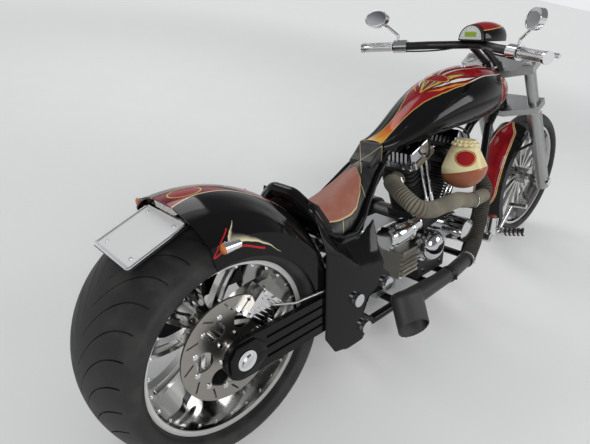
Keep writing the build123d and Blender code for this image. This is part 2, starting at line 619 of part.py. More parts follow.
# Gearbox behind the engine, with the output shaft to the front belt pulley
FRONT_PULLEY_R = 44
GEAR_HALF = 75
SHAFT_X = GEAR_X - 60
with BuildPart() as gearbox:
    with Locations((GEAR_X, 0, GEAR_Z)):
        Box(206, 2 * GEAR_HALF, 176)
    fillet(gearbox.edges().filter_by(Axis.Y), 22)
    rod((SHAFT_X, GEAR_HALF - 1, GEAR_Z), (SHAFT_X, PULLEY_Y + PULLEY_W / 2, GEAR_Z), 24)
    rod((SHAFT_X, PULLEY_Y - PULLEY_W / 2, GEAR_Z), (SHAFT_X, PULLEY_Y + PULLEY_W / 2, GEAR_Z), FRONT_PULLEY_R)
    with Locations((GEAR_X, 0, (MOUNT_TOP + GEAR_Z - 80) / 2)):
        Box(120, 120, GEAR_Z - 80 - MOUNT_TOP)

# Drive belt around both pulleys
BELT_T = 8
with BuildPart() as drive_belt:
    with BuildSketch(side(PULLEY_Y + 12)) as loop:
        with Locations((0, REAR_R)):
            Circle(PULLEY_R + BELT_T)
        with Locations((SHAFT_X, GEAR_Z)):
            Circle(FRONT_PULLEY_R + BELT_T)
        make_hull()
        with BuildSketch(mode=Mode.PRIVATE) as inside:
            with Locations((0, REAR_R)):
                Circle(PULLEY_R + SEAT_GAP)
            with Locations((SHAFT_X, GEAR_Z)):
                Circle(FRONT_PULLEY_R + SEAT_GAP)
            make_hull()
        add(inside.sketch, mode=Mode.SUBTRACT)
    extrude(loop.sketch, amount=24)

# Polished covers on the right: cam chest with its dome and canister, finned gearbox cover, starter, caps
DOME, CANISTER = (970, 298), (1130, 330)
DOME_R, CANISTER_R = 64, 55
with BuildPart() as chrome_covers:
    chest = -CASE_HALF - SEAT_GAP
    with BuildSketch(side(chest)) as plate:
        with Locations(DOME):
            Circle(DOME_R + 8)
        with Locations(CANISTER):
            Circle(CANISTER_R + 8)
        make_hull()
    extrude(plate.sketch, amount=16)
    with BuildSketch(side(chest - 15)) as base:
        with Locations(DOME):
            Circle(DOME_R)
    extrude(base.sketch, amount=62)
    fillet(chrome_covers.faces().sort_by(Axis.Y)[0].edges(), 48)
    with BuildSketch(side(chest - 15)) as base:
        with Locations(CANISTER):
            Circle(CANISTER_R)
    extrude(base.sketch, amount=84, taper=4)
    with Locations((GEAR_X + 22, -GEAR_HALF - SEAT_GAP - 30, GEAR_Z - 32)):
        Box(116, 60, 104)
    for row in range(5):
        with Locations((GEAR_X + 22, -GEAR_HALF - 64, GEAR_Z - 70 + row * 19)):
            Box(100, 14, 8)
    with Locations((GEAR_X - 30, -106, GEAR_Z + 90)):
        Box(128, 62, 60)
    skin = -PANEL_INNER[-1] - PANEL_T
    for x, z in ((413, PIVOT_Z), (456, 212), (560, 329)):
        rod((x, skin - SEAT_GAP, z), (x, skin - 14, z), 23, 21)

# Exhaust: the rear header loops out under the air cleaner into the front one, which runs down to the muffler
PIPE_R, PIPE_BEND = 28, 44
with BuildPart() as exhaust_headers:
    rear_port, rear_way = (bank(-CYLINDER_TILT, HEAD_MID, -22, -HEAD_HALF - out).origin
                           for out in (SEAT_GAP, 33))
    tube([rear_port, rear_way, (770, -50, 588), (722, -130, 572), (716, -198, 540), (800, -206, 518),
          (976, -202, 508), (1110, -194, 470), (1290, -160, 440)], PIPE_BEND, PIPE_R)
    front_port, front_way = (bank(CYLINDER_TILT, HEAD_MID, -22, HEAD_HALF + out).origin
                             for out in (SEAT_GAP, 33))
    tube([front_port, front_way, (1318, -90, 540), (1306, -154, 470), (1262, -172, 370), (1200, -188, 262),
          (1110, -214, 240), (1020, -238, 238), (930, -238, 238)], PIPE_BEND, PIPE_R)
with BuildPart() as muffler:
    rod((930 - SEAT_GAP, -238, 238), (700, -238, 238), PIPE_R, 34)
    with BuildSketch(Plane(origin=(640, -228, 262), x_dir=(1, 0, 0), z_dir=(0, -0.3, -0.954))):
        Ellipse(72, 34)
    with BuildSketch(Plane(origin=(628, -262, 150), x_dir=(0.976, 0, 0.217), z_dir=(0.065, -0.3, -0.951))) as mouth:
        Ellipse(74, 27)
    loft()
    with BuildSketch(Plane(origin=(628, -262, 150), x_dir=(0.976, 0, 0.217), z_dir=(0.065, -0.3, -0.951))) as hole:
        Ellipse(68, 21)
    extrude(hole.sketch, amount=-60, mode=Mode.SUBTRACT)

# Forward foot controls: bracket, master cylinder, folding peg and lever on each side
PEG, PEG_R, PEG_L = ((1360, 205, 262), (1372, 322, 292)), 15, 90
with BuildPart() as foot_controls:
    for facing in (-1, 1):
        rod((1302, facing * (RAIL_Y + RAIL_R + SEAT_GAP), 250), (1302, facing * 212, 250), 20)
        rod((1296, facing * 200, 250), (1366, facing * 206, 262), 16)
        rod((1330, facing * 198, 262), (1330, facing * 198, 340), 22)
        root, tip = (Vector(x, facing * y, z) for x, y, z in PEG)
        shoulder = tip + (root - tip).normalized() * PEG_L
        rod(root, shoulder, PEG_R + 5)
        rod(shoulder, tip, PEG_R)
        rod((1360, facing * 212, 250), (1440, facing * 226, 372), 6)
        rod((1440, facing * 216, 372), (1440, facing * 286, 380), 10)

# Rear caliper on the right arm and its braided hose
DISC_ROOM = 3
with BuildPart() as rear_caliper:
    with Locations(Location((0, 0, REAR_R), (0, -42, 0))):
        with Locations((128, REAR_DISC_Y - 2, 0)):
            Box(84, 50, 92)
    rod((0, REAR_DISC_Y - REAR_DISC_T / 2 - 2, REAR_R), (0, REAR_DISC_Y + REAR_DISC_T / 2 + 2, REAR_R),
        REAR_DISC_R + DISC_ROOM, mode=Mode.SUBTRACT)
    rod((108, REAR_DISC_Y - 20, 376), (108, SEAT_GAP - ARM_INNER[-1], 376), 7)
with BuildPart() as brake_hose:
    tube([(112, REAR_DISC_Y - 27 - SEAT_GAP, 432), (112, -172, 432), (170, -191, 420), (240, -191, 414), (294, -191, 409),
          (294, SEAT_GAP - PANEL_INNER[-1], 409)], 5, 3.2)

# Steering: clamps with the stem, fork tubes, sliders
LOW_CLAMP = HEAD_LOW - CLAMP_T - 6
HIGH_CLAMP = HEAD_HIGH + 4
FORK_TOP = 762


def clamp_plate(level):
    """Add one fork clamp, a plate square to the steering axis."""
    with BuildSketch(across_axis(level)) as plate:
        with BuildLine():
            half = FORK_SPREAD / 2
            Polyline((-34, -30), (FORK_OFFSET - 34, -half - 34), (FORK_OFFSET + 34, -half - 34),
                     (FORK_OFFSET + 34, half + 34), (FORK_OFFSET - 34, half + 34), (-34, 30), close=True)
        make_face()
    extrude(plate.sketch, amount=CLAMP_T)


with BuildPart() as triple_clamps:
    clamp_plate(LOW_CLAMP)
    clamp_plate(HIGH_CLAMP)
    rod(tuple(fork(LOW_CLAMP + 5)), tuple(fork(HIGH_CLAMP + 10)), STEM_R)
    for y in (-FORK_SPREAD / 2, FORK_SPREAD / 2):
        with Locations(across_axis((LOW_CLAMP + HIGH_CLAMP) / 2)):
            with Locations((FORK_OFFSET, y)):
                Cylinder(FORK_TUBE_R + FIT, 500, mode=Mode.SUBTRACT)

SLIDER_TOP = LOW_CLAMP - 8
with BuildPart() as fork_tubes:
    for y in (-FORK_SPREAD / 2, FORK_SPREAD / 2):
        rod(tuple(fork(SLIDER_TOP, FORK_OFFSET, y)), tuple(fork(FORK_TOP, FORK_OFFSET, y)), FORK_TUBE_R)
        rod(tuple(fork(HIGH_CLAMP + CLAMP_T, FORK_OFFSET, y)), tuple(fork(FORK_TOP + 14, FORK_OFFSET, y)), 28)
with BuildPart() as fork_legs:
    for y in (-FORK_SPREAD / 2, FORK_SPREAD / 2):
        rod(tuple(fork(-42, FORK_OFFSET, y)), tuple(fork(SLIDER_TOP - SEAT_GAP, FORK_OFFSET, y)), FORK_LEG_R)
    with Locations(Location(tuple(fork(0, FORK_OFFSET)), (90, 0, 0))):
        Cylinder(FRONT_AXLE_R, FORK_SPREAD + 80, mode=Mode.SUBTRACT)

with BuildPart() as front_axle:
    low = fork(0, FORK_OFFSET)
    reach = FORK_SPREAD / 2 + FORK_LEG_R
    rod((low.X, -reach, low.Z), (low.X, reach, low.Z), FRONT_AXLE_R)
    for facing in (-1, 1):
        rod((low.X, facing * reach, low.Z), (low.X, facing * (reach + 8), low.Z), 20)
        rod((low.X, facing * (FORK_SPREAD / 2 - FORK_LEG_R - SEAT_GAP), low.Z),
            (low.X, facing * (FRONT_DISC_Y + FRONT_DISC_T / 2 + SEAT_GAP), low.Z), 20)

# Front caliper behind the left leg
with BuildPart() as front_caliper:
    with Locations(across_axis(112)):
        with Locations((FORK_OFFSET - 66, FRONT_DISC_Y + 14, 0)):
            Box(70, 66, 96)
    rod(fork(112, FORK_OFFSET - 60, 94), fork(112, FORK_OFFSET, FORK_SPREAD / 2) + (
        AXIS_AHEAD * -60 + Vector(0, 94 - FORK_SPREAD / 2, 0)).normalized() * (FORK_LEG_R + SEAT_GAP), 10)
    rod((WHEELBASE, FRONT_DISC_Y - FRONT_DISC_T / 2 - 2, AXLE_Z), (WHEELBASE, FRONT_DISC_Y + FRONT_DISC_T / 2 + 2, AXLE_Z),
        FRONT_DISC_R + DISC_ROOM, mode=Mode.SUBTRACT)

# Handlebar on its swept riser, chrome grips with switches and levers, mirrors
BAR = ((1131, 390, 1010), (1262, 150, 1026), (1384, 40, 1030))
BAR_R = 15.9
with BuildPart() as handlebar:
    tube([BAR[0], BAR[1], BAR[2], (BAR[2][0], -BAR[2][1], BAR[2][2]), (BAR[1][0], -BAR[1][1], BAR[1][2]),
          (BAR[0][0], -BAR[0][1], BAR[0][2])], 38, BAR_R)
    for y in (-26, 26):
        riser = fork(HIGH_CLAMP + CLAMP_T + SEAT_GAP, -4, y)
        top = riser + AXIS_UP * 24
        rod(tuple(riser), tuple(top), 17)
        rod(tuple(top - AXIS_UP * 4), (1388, y, 1028), 14)

GRIP_L, GRIP_R = 128, 19
with BuildPart() as hand_controls:
    for facing in (-1, 1):
        out = Vector(BAR[0][0], facing * BAR[0][1], BAR[0][2])
        inward = (Vector(BAR[1][0], facing * BAR[1][1], BAR[1][2]) - out).normalized()
        rod(tuple(out - inward * 9), tuple(out + inward * 2), GRIP_R + 2)
        rod(tuple(out), tuple(out + inward * GRIP_L), GRIP_R)
        rod(tuple(out + inward * (GRIP_L + 4)), tuple(out + inward * (GRIP_L + 58)), 26)
        knuckle = out + inward * (GRIP_L + 34)
        rod(tuple(knuckle), tuple(knuckle + Vector(50, 0, 6)), 13)
        rod(tuple(knuckle + Vector(48, 0, 6)), tuple(out + Vector(86, facing * 6, 2)), 8)
        rod(tuple(out), tuple(out + inward * (GRIP_L + 60)), BAR_R, mode=Mode.SUBTRACT)

# The right mirror is turned in towards the rider, so that it shows nearly edge-on from behind
MIRROR_FACE = {-1: (-0.72, 0.69, 0.1), 1: (-0.94, 0, 0.34)}
MIRROR_ALONG = {-1: (0.69, 0.72, 0), 1: (0, 1, 0)}
with BuildPart() as mirrors:
    for facing in (-1, 1):
        rod((1201, facing * 262, 1045.3), (1201, facing * 262, 1066), 6)
        rod((1201, facing * 262, 1062), (1176, facing * 306, 1098), 6)
        rod((1178, facing * 304, 1096), (1140, facing * 322, 1116), 6)
        with BuildSketch(Plane(origin=(1136, facing * 330, 1124), x_dir=MIRROR_ALONG[facing], z_dir=MIRROR_FACE[facing])) as head:
            Ellipse(58, 34)
        extrude(head.sketch, amount=9, both=True)

# Gauge and headlamp share one nacelle, round above and flat below, on top of the bar
NACELLE_X, NACELLE_Z = 1345, 1045.3
with BuildPart() as headlamp:
    for ahead, half, high in ((0, 56, 64), (90, 66, 74), (165, 58, 66)):
        with BuildSketch(Plane.YZ.offset(NACELLE_X + ahead)):
            with BuildLine():
                Line((-half, NACELLE_Z), (half, NACELLE_Z))
                ThreePointArc((half, NACELLE_Z), (0, NACELLE_Z + high), (-half, NACELLE_Z))
            make_face()
    loft()
with BuildPart() as gauge:
    with BuildSketch(Plane.YZ.offset(NACELLE_X - SEAT_GAP)):
        with BuildLine():
            Line((-52, NACELLE_Z + 2), (52, NACELLE_Z + 2))
            ThreePointArc((52, NACELLE_Z + 2), (0, NACELLE_Z + 61), (-52, NACELLE_Z + 2))
        make_face()
    extrude(amount=-18)

# Front fender: a narrow shell about the front axle between the legs
F_FENDER_R, F_FENDER_HALF, F_FENDER_T = FRONT_R + 28, 76, 4
F_FENDER_SKIRT = F_FENDER_R - 74
F_FENDER_FROM, F_FENDER_TO = 214, 122
front_start = Plane(
    origin=(WHEELBASE, 0, AXLE_Z),
    x_dir=(cos(radians(F_FENDER_FROM)), 0, sin(radians(F_FENDER_FROM))),
    z_dir=(-sin(radians(F_FENDER_FROM)), 0, cos(radians(F_FENDER_FROM))),
)
with BuildPart() as front_fender:
    with BuildSketch(front_start) as section:
        with BuildLine():
            Line((F_FENDER_SKIRT, -F_FENDER_HALF), (F_FENDER_R - 40, -F_FENDER_HALF))
            ThreePointArc((F_FENDER_R - 40, -F_FENDER_HALF), (F_FENDER_R, 0), (F_FENDER_R - 40, F_FENDER_HALF))
            Line((F_FENDER_R - 40, F_FENDER_HALF), (F_FENDER_SKIRT, F_FENDER_HALF))
            Line((F_FENDER_SKIRT, F_FENDER_HALF), (F_FENDER_SKIRT, F_FENDER_HALF - F_FENDER_T))
            Line((F_FENDER_SKIRT, F_FENDER_HALF - F_FENDER_T), (F_FENDER_R - 42, F_FENDER_HALF - F_FENDER_T))
            ThreePointArc((F_FENDER_R - 42, F_FENDER_HALF - F_FENDER_T), (F_FENDER_R - F_FENDER_T, 0),
                          (F_FENDER_R - 42, F_FENDER_T - F_FENDER_HALF))
            Line((F_FENDER_R - 42, F_FENDER_T - F_FENDER_HALF), (F_FENDER_SKIRT, F_FENDER_T - F_FENDER_HALF))
            Line((F_FENDER_SKIRT, F_FENDER_T - F_FENDER_HALF), (F_FENDER_SKIRT, -F_FENDER_HALF))
        make_face()
    revolve(section.sketch, axis=Axis((WHEELBASE, 0, AXLE_Z), (0, 1, 0)), revolution_arc=F_FENDER_FROM - F_FENDER_TO)
    for facing in (-1, 1):
        leg, skin = fork(300, FORK_OFFSET, facing * FORK_SPREAD / 2), fork(300, FORK_OFFSET - 90, facing * (F_FENDER_HALF - 2))
        rod(leg + (skin - leg).normalized() * (FORK_LEG_R + SEAT_GAP), skin, 7)

# The parked machine's place over its own middle, and the frames of its moving parts
MID_X, MID_Y = 1031, 222
LEANED = Location((0, 0, LIFT), (-LEAN, 0, 0))
PARKED = Location((-MID_X, -MID_Y, 0)) * LEANED
STEERED = PARKED * Location(tuple(fork(0))) * Location((0, 0, 0), tuple(AXIS_UP), REST_STEER) * Location(
    tuple(fork(0) * -1))
REAR_HUB = PARKED * Location((0, 0, REAR_R))
FRONT_HUB = STEERED * Location((WHEELBASE, 0, AXLE_Z))

# Side stand: a straight leg from its boss to a round foot that lies flat on the ground
hinge = (LEANED * Location(STAND_PIVOT)).position
toe = Vector(hinge.X + STAND_FORWARD, hinge.Y + STAND_REACH, 0)
out = (toe - hinge).normalized()
with BuildPart() as side_stand:
    rod(toe, toe + Vector(0, 0, 8), 28)
    rod(toe + Vector(0, 0, 13), hinge + out * (BOSS_R - 3), 10, 12)
    with Locations(Location(hinge, (-LEAN, 0, 0))):
        Cylinder(BOSS_R, BOSS_T)
        Cylinder(STAND_PIN_R + FIT, 2 * BOSS_T, mode=Mode.SUBTRACT)

# Every piece, with the place it takes in the parked machine
PIECES = (
    (PARKED, dict(frame=frame, cradle_tubes=cradle_tubes, cross_tubes=cross_tubes, swingarm=swingarm, side_covers=side_covers, rear_fender=rear_fender,
                  tail_lamp=tail_lamp, plate_bracket=plate_bracket, number_plate=number_plate,
                  turn_signals=turn_signals, seat_shell=seat_shell, seat_pad=seat_pad, fuel_tank=fuel_tank,
                  engine_cases=engine_cases, cylinders=cylinders, rocker_covers=rocker_covers,
                  pushrod_tubes=pushrod_tubes, air_cleaner=air_cleaner, intake=intake,
                  primary_cover=primary_cover, gearbox=gearbox, drive_belt=drive_belt,
                  chrome_covers=chrome_covers, exhaust_headers=exhaust_headers, muffler=muffler,
                  foot_controls=foot_controls, rear_caliper=rear_caliper, brake_hose=brake_hose)),
    (REAR_HUB, dict(rear_tyre=rear_tyre, rear_wheel=rear_wheel, rear_disc=rear_disc, rear_pulley=rear_pulley,
                    rear_axle=rear_axle)),
    (STEERED, dict(triple_clamps=triple_clamps, fork_tubes=fork_tubes, fork_legs=fork_legs,
                   front_axle=front_axle, front_caliper=front_caliper, handlebar=handlebar,
                   hand_controls=hand_controls, mirrors=mirrors, headlamp=headlamp, gauge=gauge,
                   front_fender=front_fender)),
    (FRONT_HUB, dict(front_tyre=front_tyre, front_wheel=front_wheel, front_disc=front_disc)),
    (Location((-MID_X, -MID_Y, 0)), dict(side_stand=side_stand)),
)
for place, group in PIECES:
    for label, piece in group.items():
        piece.part.locate(place)
        piece.part.label = label
        export_step(piece.part, f"parts/{label}.step")
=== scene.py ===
from math import atan2, cos, pi, radians, sin, sqrt

import bmesh
import bpy
from mathutils import Matrix, Vector


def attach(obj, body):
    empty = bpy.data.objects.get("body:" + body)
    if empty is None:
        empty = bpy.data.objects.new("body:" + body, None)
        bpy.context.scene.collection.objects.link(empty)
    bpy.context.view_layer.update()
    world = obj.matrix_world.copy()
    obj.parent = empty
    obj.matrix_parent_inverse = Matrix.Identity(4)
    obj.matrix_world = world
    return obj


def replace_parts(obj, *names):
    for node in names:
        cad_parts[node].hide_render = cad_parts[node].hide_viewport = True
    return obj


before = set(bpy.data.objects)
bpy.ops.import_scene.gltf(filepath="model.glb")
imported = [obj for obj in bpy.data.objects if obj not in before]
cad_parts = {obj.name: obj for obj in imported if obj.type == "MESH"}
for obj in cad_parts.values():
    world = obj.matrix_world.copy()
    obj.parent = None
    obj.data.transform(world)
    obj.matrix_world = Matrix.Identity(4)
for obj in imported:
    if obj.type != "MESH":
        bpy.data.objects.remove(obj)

ops = bpy.ops
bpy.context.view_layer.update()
ops.object.select_all(action="DESELECT")
bpy.context.scene.view_settings.view_transform = "Standard"

# Camera: stands behind the machine and to its right, a little above the seat, and looks forwards
# along the tank. Its place, turn and lens are fitted to the photograph.
ops.object.camera_add(location=(-1.5337, -0.8532, 1.2838),
                      rotation=(radians(56.4715), radians(-9.079), radians(-41.8458)))
camera = bpy.context.object
camera.data.lens, camera.data.sensor_width = 27.09, 36.0
bpy.context.scene.camera = camera


# Floor and light: one large pale floor under a plain pale sky, and three broad soft lamps.
# The sky is a little darker overhead, so that chrome has something to show.
class Wire:
    """One output socket of a node tree, written into sums as if it were a number."""

    def __init__(self, nodes, socket):
        self.nodes, self.socket = nodes, socket

    def __add__(self, other):
        return self.nodes.sum("ADD", self, other)

    __radd__ = __add__

    def __sub__(self, other):
        return self.nodes.sum("SUBTRACT", self, other)

    def __rsub__(self, other):
        return self.nodes.sum("SUBTRACT", other, self)

    def __mul__(self, other):
        return self.nodes.sum("MULTIPLY", self, other)

    def __truediv__(self, other):
        return self.nodes.sum("DIVIDE", self, other)

    def __lt__(self, other):
        return self.nodes.sum("LESS_THAN", self, other)

    def __gt__(self, other):
        return self.nodes.sum("GREATER_THAN", self, other)

    def __abs__(self):
        return self.nodes.sum("ABSOLUTE", self)


class Nodes:
    """A node tree under way, of a finish or of the sky."""

    def __init__(self, tree):
        self.tree = tree

    def join(self, socket, value):
        """Give a socket a plain value or a wire."""
        if isinstance(value, Wire):
            self.tree.links.new(value.socket, socket)
        else:
            socket.default_value = value

    def add(self, kind, settings=None, inputs=None, output=0):
        """Put in a node: its type, its settings, then what goes into its sockets."""
        node = self.tree.nodes.new(kind)
        for name, value in (settings or {}).items():
            setattr(node, name, value)
        for name, value in (inputs or {}).items():
            self.join(node.inputs[name], value)
        return Wire(self, node.outputs[output])

    def ramp(self, value, stops, ease="LINEAR"):
        """Colours read from a row of (place, colour), from the place 0 to the place 1."""
        read = self.add("ShaderNodeValToRGB", None, {"Fac": value})
        row = read.socket.node.color_ramp
        row.elements[0].color, row.elements[1].color = (*stops[0][1], 1.0), (*stops[-1][1], 1.0)
        for place, colour in stops[1:-1]:
            row.elements.new(place).color = (*colour, 1.0)
        row.interpolation = ease
        return read

    def sum(self, operation, *terms):
        return self.add("ShaderNodeMath", {"operation": operation}, dict(enumerate(terms)))

    def clear(self, value, low, high):
        """A smooth step from 0 at low to 1 at high."""
        return self.add("ShaderNodeMapRange", {"interpolation_type": "SMOOTHSTEP"},
                        {"Value": value, "From Min": low, "From Max": high})

    def blend(self, mask, under, over):
        """Colour under where the mask is 0, colour over where it is 1."""
        pair = [colour if isinstance(colour, Wire) else (*colour, 1.0) for colour in (under, over)]
        return self.add("ShaderNodeMix", {"data_type": "RGBA"}, {0: mask, 6: pair[0], 7: pair[1]}, 2)

    def paint(self, under, *coats):
        """Coats laid on in turn, each a mask and the colour where it is 1."""
        for mask, colour in coats:
            under = self.blend(mask, under, colour)
        return under


class Finish(Nodes):
    """A material under way, with its shader."""

    def __init__(self, name, colour, roughness, metallic=0.0, **fixed):
        self.material = bpy.data.materials.new(name)
        self.material.use_nodes = True
        super().__init__(self.material.node_tree)
        self.shader = self.tree.nodes["Principled BSDF"]
        self.set("Base Color", (*colour, 1.0))
        self.set("Roughness", roughness)
        self.set("Metallic", metallic)
        for socket, value in fixed.items():
            self.set(socket.replace("_", " "), value)

    def set(self, socket, value):
        """Give one of the shader's sockets a plain value or a wire."""
        self.join(self.shader.inputs[socket], value)

    def here(self):
        """The place on the object, in metres."""
        return self.add("ShaderNodeTexCoord", output=3)

    def where(self, turned):
        """The place in the frame of a matrix, as three numbers."""
        back = turned.inverted()
        place = self.add("ShaderNodeMapping", None, {
            "Vector": self.here(), "Location": back.to_translation(), "Rotation": back.to_euler()})
        return [self.add("ShaderNodeSeparateXYZ", None, {0: place}, number) for number in range(3)]

    def course(self, value, table):
        """A size read smoothly from a table of (place, size)."""
        (low, _), (high, _) = table[0], table[-1]
        most = max(abs(size) for _, size in table)
        stops = [((place - low) / (high - low), (0.5 + 0.5 * size / most,) * 3) for place, size in table]
        return (self.ramp((value - low) / (high - low), stops, "CARDINAL") - 0.5) * (2 * most)

    def edge(self, offset, soft=0.0004):
        """A painted edge: 1 where the offset from it is more than 0."""
        return self.clear(offset, -soft, soft)

    def line(self, offset, half):
        """A painted stripe: 1 where the offset from its middle is less than its half width."""
        return self.edge(half - abs(offset), 0.0003)

    def noise(self, scale, detail=2.0, stretch=(1, 1, 1), place=None):
        """A cloud of values from 0 to 1."""
        where = place or self.here()
        if stretch != (1, 1, 1):
            where = self.add("ShaderNodeVectorMath", {"operation": "MULTIPLY"}, {0: where, 1: stretch})
        return self.add("ShaderNodeTexNoise", None, {"Vector": where, "Scale": scale, "Detail": detail})

    def patches(self, scale, detail, low, high, stretch=(1, 1, 1)):
        """Soft patches: 0 where the noise is below low, 1 where it is above high."""
        return self.clear(self.noise(scale, detail, stretch), low, high)

    def cells(self, scale):
        """Small cells, 0 at the middle of each."""
        return self.add("ShaderNodeTexVoronoi", None, {"Vector": self.here(), "Scale": scale})

    def ridges(self, value, width):
        """Ridges across a length in metres, from 0 at the foot to 1 after a width in millimetres."""
        return self.sum("PINGPONG", value * 1000.0, width) / width

    def rings(self, out, scale, detail):
        """Fine rings about an axle, from the distance out from it."""
        return self.noise(scale, detail, place=self.add("ShaderNodeCombineXYZ", None, {"X": out}))

    def bump(self, height, strength, distance=0.001, over=None):
        """Raise the surface by a pattern, over another one where it is given."""
        inputs = {"Height": height, "Strength": strength, "Distance": distance}
        if over:
            inputs["Normal"] = over
        lifted = self.add("ShaderNodeBump", None, inputs)
        self.set("Normal", lifted)
        return lifted


def dress(finish, *nodes):
    """Give CAD pieces their finish."""
    for node in nodes:
        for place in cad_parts[node].material_slots:
            place.material = finish.material


FLOOR_SIZE, FADE_FROM, FADE_TO = 60.0, 1.8, 7.0
ops.mesh.primitive_grid_add(x_subdivisions=2, y_subdivisions=2, size=FLOOR_SIZE)
floor = bpy.context.object
floor.name = "floor"
paving = Finish("pale floor", (0.80, 0.80, 0.79), 0.9, Specular_IOR_Level=0.1)
paving.set("Base Color", paving.blend(paving.noise(3.0), (0.79, 0.79, 0.78), (0.82, 0.82, 0.81)))
far_off = paving.add("ShaderNodeVectorMath", {"operation": "LENGTH"}, {0: paving.here()}, 1)
haze = paving.add("ShaderNodeEmission", None, {"Color": (0.72, 0.725, 0.73, 1.0)})
from_camera = paving.add("ShaderNodeLightPath", output="Is Camera Ray")
faded = paving.add("ShaderNodeMixShader", None, {
    0: paving.clear(far_off, FADE_FROM, FADE_TO) * from_camera,
    1: Wire(paving, paving.shader.outputs[0]), 2: haze})
paving.join(paving.tree.nodes["Material Output"].inputs["Surface"], faded)
floor.data.materials.append(paving.material)

# columns: place, size, watts, what it points at
for spot, size, watts, aim in (
    ((-3.2, -3.6, 3.8), 2.2, 105, (0.0, 0.0, 0.5)),
    ((2.6, -3.4, 3.0), 1.8, 60, (0.3, 0.0, 0.6)),
    ((0.2, 3.8, 3.6), 2.2, 60, (0.0, 0.0, 0.6)),
):
    ops.object.light_add(type="AREA", location=spot)
    lamp = bpy.context.object
    lamp.data.shape, lamp.data.size, lamp.data.energy = "SQUARE", size, watts
    lamp.rotation_euler = (Vector(aim) - Vector(spot)).to_track_quat("-Z", "Y").to_euler()

world = bpy.data.worlds.new("plain sky")
bpy.context.scene.world = world
world.use_nodes = True
sky = Nodes(world.node_tree)
SKY_LIGHT, SKY_SEEN, SKY_HIGH = (0.46, 0.47, 0.48), (0.84, 0.85, 0.86), (0.20, 0.205, 0.215)
height = sky.add("ShaderNodeSeparateXYZ", None, {0: sky.add("ShaderNodeTexCoord")}, 2)
in_mirror, by_camera, through_glass = (
    sky.add("ShaderNodeLightPath", output=f"Is {kind} Ray") for kind in ("Glossy", "Camera", "Transmission"))
lit = sky.blend(in_mirror, SKY_LIGHT, sky.blend(sky.clear(height, 0.05, 0.5), SKY_SEEN, SKY_HIGH))
sky.join(sky.tree.nodes["Background"].inputs["Color"],
         sky.blend(sky.sum("MAXIMUM", by_camera, through_glass), lit, SKY_SEEN))


# Frame, cradle and stand: welded steel tube with the steering head, under gloss black lacquer.
# The machine leans on its stand, so its pieces are made upright and then leaned over by PARKED,
# and the fork's are turned about the steering head as well by STEERED.
def shift(x, y, z):
    return Matrix.Translation((x, y, z))


def rotated(degrees, axis):
    return Matrix.Rotation(radians(degrees), 4, axis)


PARKED = shift(-1.031, -0.222, 0.0102223) @ rotated(-15, "X")
HEAD_FOOT, HEAD_UP = Vector((2.00955, 0, 0.310126)), Vector((-0.587785, 0, 0.809017))
STEERED = PARKED @ shift(*HEAD_FOOT) @ rotated(-3.5, HEAD_UP) @ shift(*-HEAD_FOOT)
BLACK, CANDY, GOLD = (0.006, 0.006, 0.0065), (0.26, 0.010, 0.014), (0.62, 0.36, 0.10)


def lacquer(name, colour=BLACK, roughness=0.09):
    """Sprayed gloss lacquer: a trace of orange peel and fine dust."""
    coat = Finish(name, colour, roughness, Coat_Weight=0.25, Coat_Roughness=0.06, Specular_IOR_Level=0.05)
    coat.set("Roughness", coat.patches(9.0, 6.0, 0.45, 0.8) * 0.12 + roughness)
    coat.bump(coat.noise(700.0, 0.0), 0.03)
    return coat


black_lacquer = lacquer("black lacquer")
dress(black_lacquer, "frame", "cradle_tubes", "cross_tubes", "swingarm", "side_stand")


# Rear tyre: one very wide radial tyre, black rubber moulded with long grooves that sweep
# from near the crown to both shoulders. It is seated on the rim by its beads.
def begin(name):
    """Start a piece with one loose point at the middle of the machine, in edit mode."""
    ops.object.select_all(action="DESELECT")
    ops.mesh.primitive_plane_add(size=0.001, enter_editmode=True)
    bpy.context.object.name = name
    ops.mesh.select_mode(type="VERT")
    ops.mesh.select_all(action="SELECT")
    ops.mesh.merge(type="CENTER")
    return bpy.context.object


def draw(points):
    """Move the loose point to the first place and draw on from it, point by point."""
    here = Vector(points[0])
    ops.transform.translate(value=here)
    for point in points[1:]:
        ops.mesh.extrude_vertices_move(TRANSFORM_OT_translate={"value": Vector(point) - here})
        here = Vector(point)


def turn(steps, axis):
    """Spin what is drawn all round an axis, weld it shut and leave edit mode."""
    ops.mesh.select_all(action="SELECT")
    ops.mesh.spin(steps=steps, angle=2 * pi, center=(0, 0, 0), axis=axis)
    ops.mesh.select_all(action="SELECT")
    ops.mesh.remove_doubles(threshold=0.00002)
    ops.mesh.normals_make_consistent(inside=False)
    ops.object.mode_set(mode="OBJECT")


def pick(test):
    """Select the faces whose middle and normal pass a test."""
    ops.mesh.select_mode(type="FACE")
    ops.mesh.select_all(action="DESELECT")
    skin = bmesh.from_edit_mesh(bpy.context.object.data)
    for face in skin.faces:
        face.select = test(face.calc_center_median(), face.normal)
    bmesh.update_edit_mesh(bpy.context.object.data)


def hold(*pieces):
    """Select these pieces alone, with the first one active."""
    ops.object.select_all(action="DESELECT")
    for piece in pieces:
        piece.select_set(True)
    bpy.context.view_layer.objects.active = pieces[0]


def settle(piece, finish, slot, place=PARKED, body="chassis", smooth=35):
    """Set a piece down in its place on the machine and give it its finish and body. The slot is not used."""
    hold(piece)
    ops.object.transform_apply(location=True, rotation=True, scale=True)
    piece.data.transform(place)
    ops.object.shade_smooth_by_angle(angle=radians(smooth))
    piece.data.materials.clear()
    piece.data.materials.append(finish.material)
    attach(piece, body)
    return piece


def sweep_back(across, reach, sweep):
    """How far round the tyre a groove has run at a distance from the crown."""
    share = min(abs(across) / reach, 1.0)
    return sweep * (1 - (1 - share) ** 2.2)


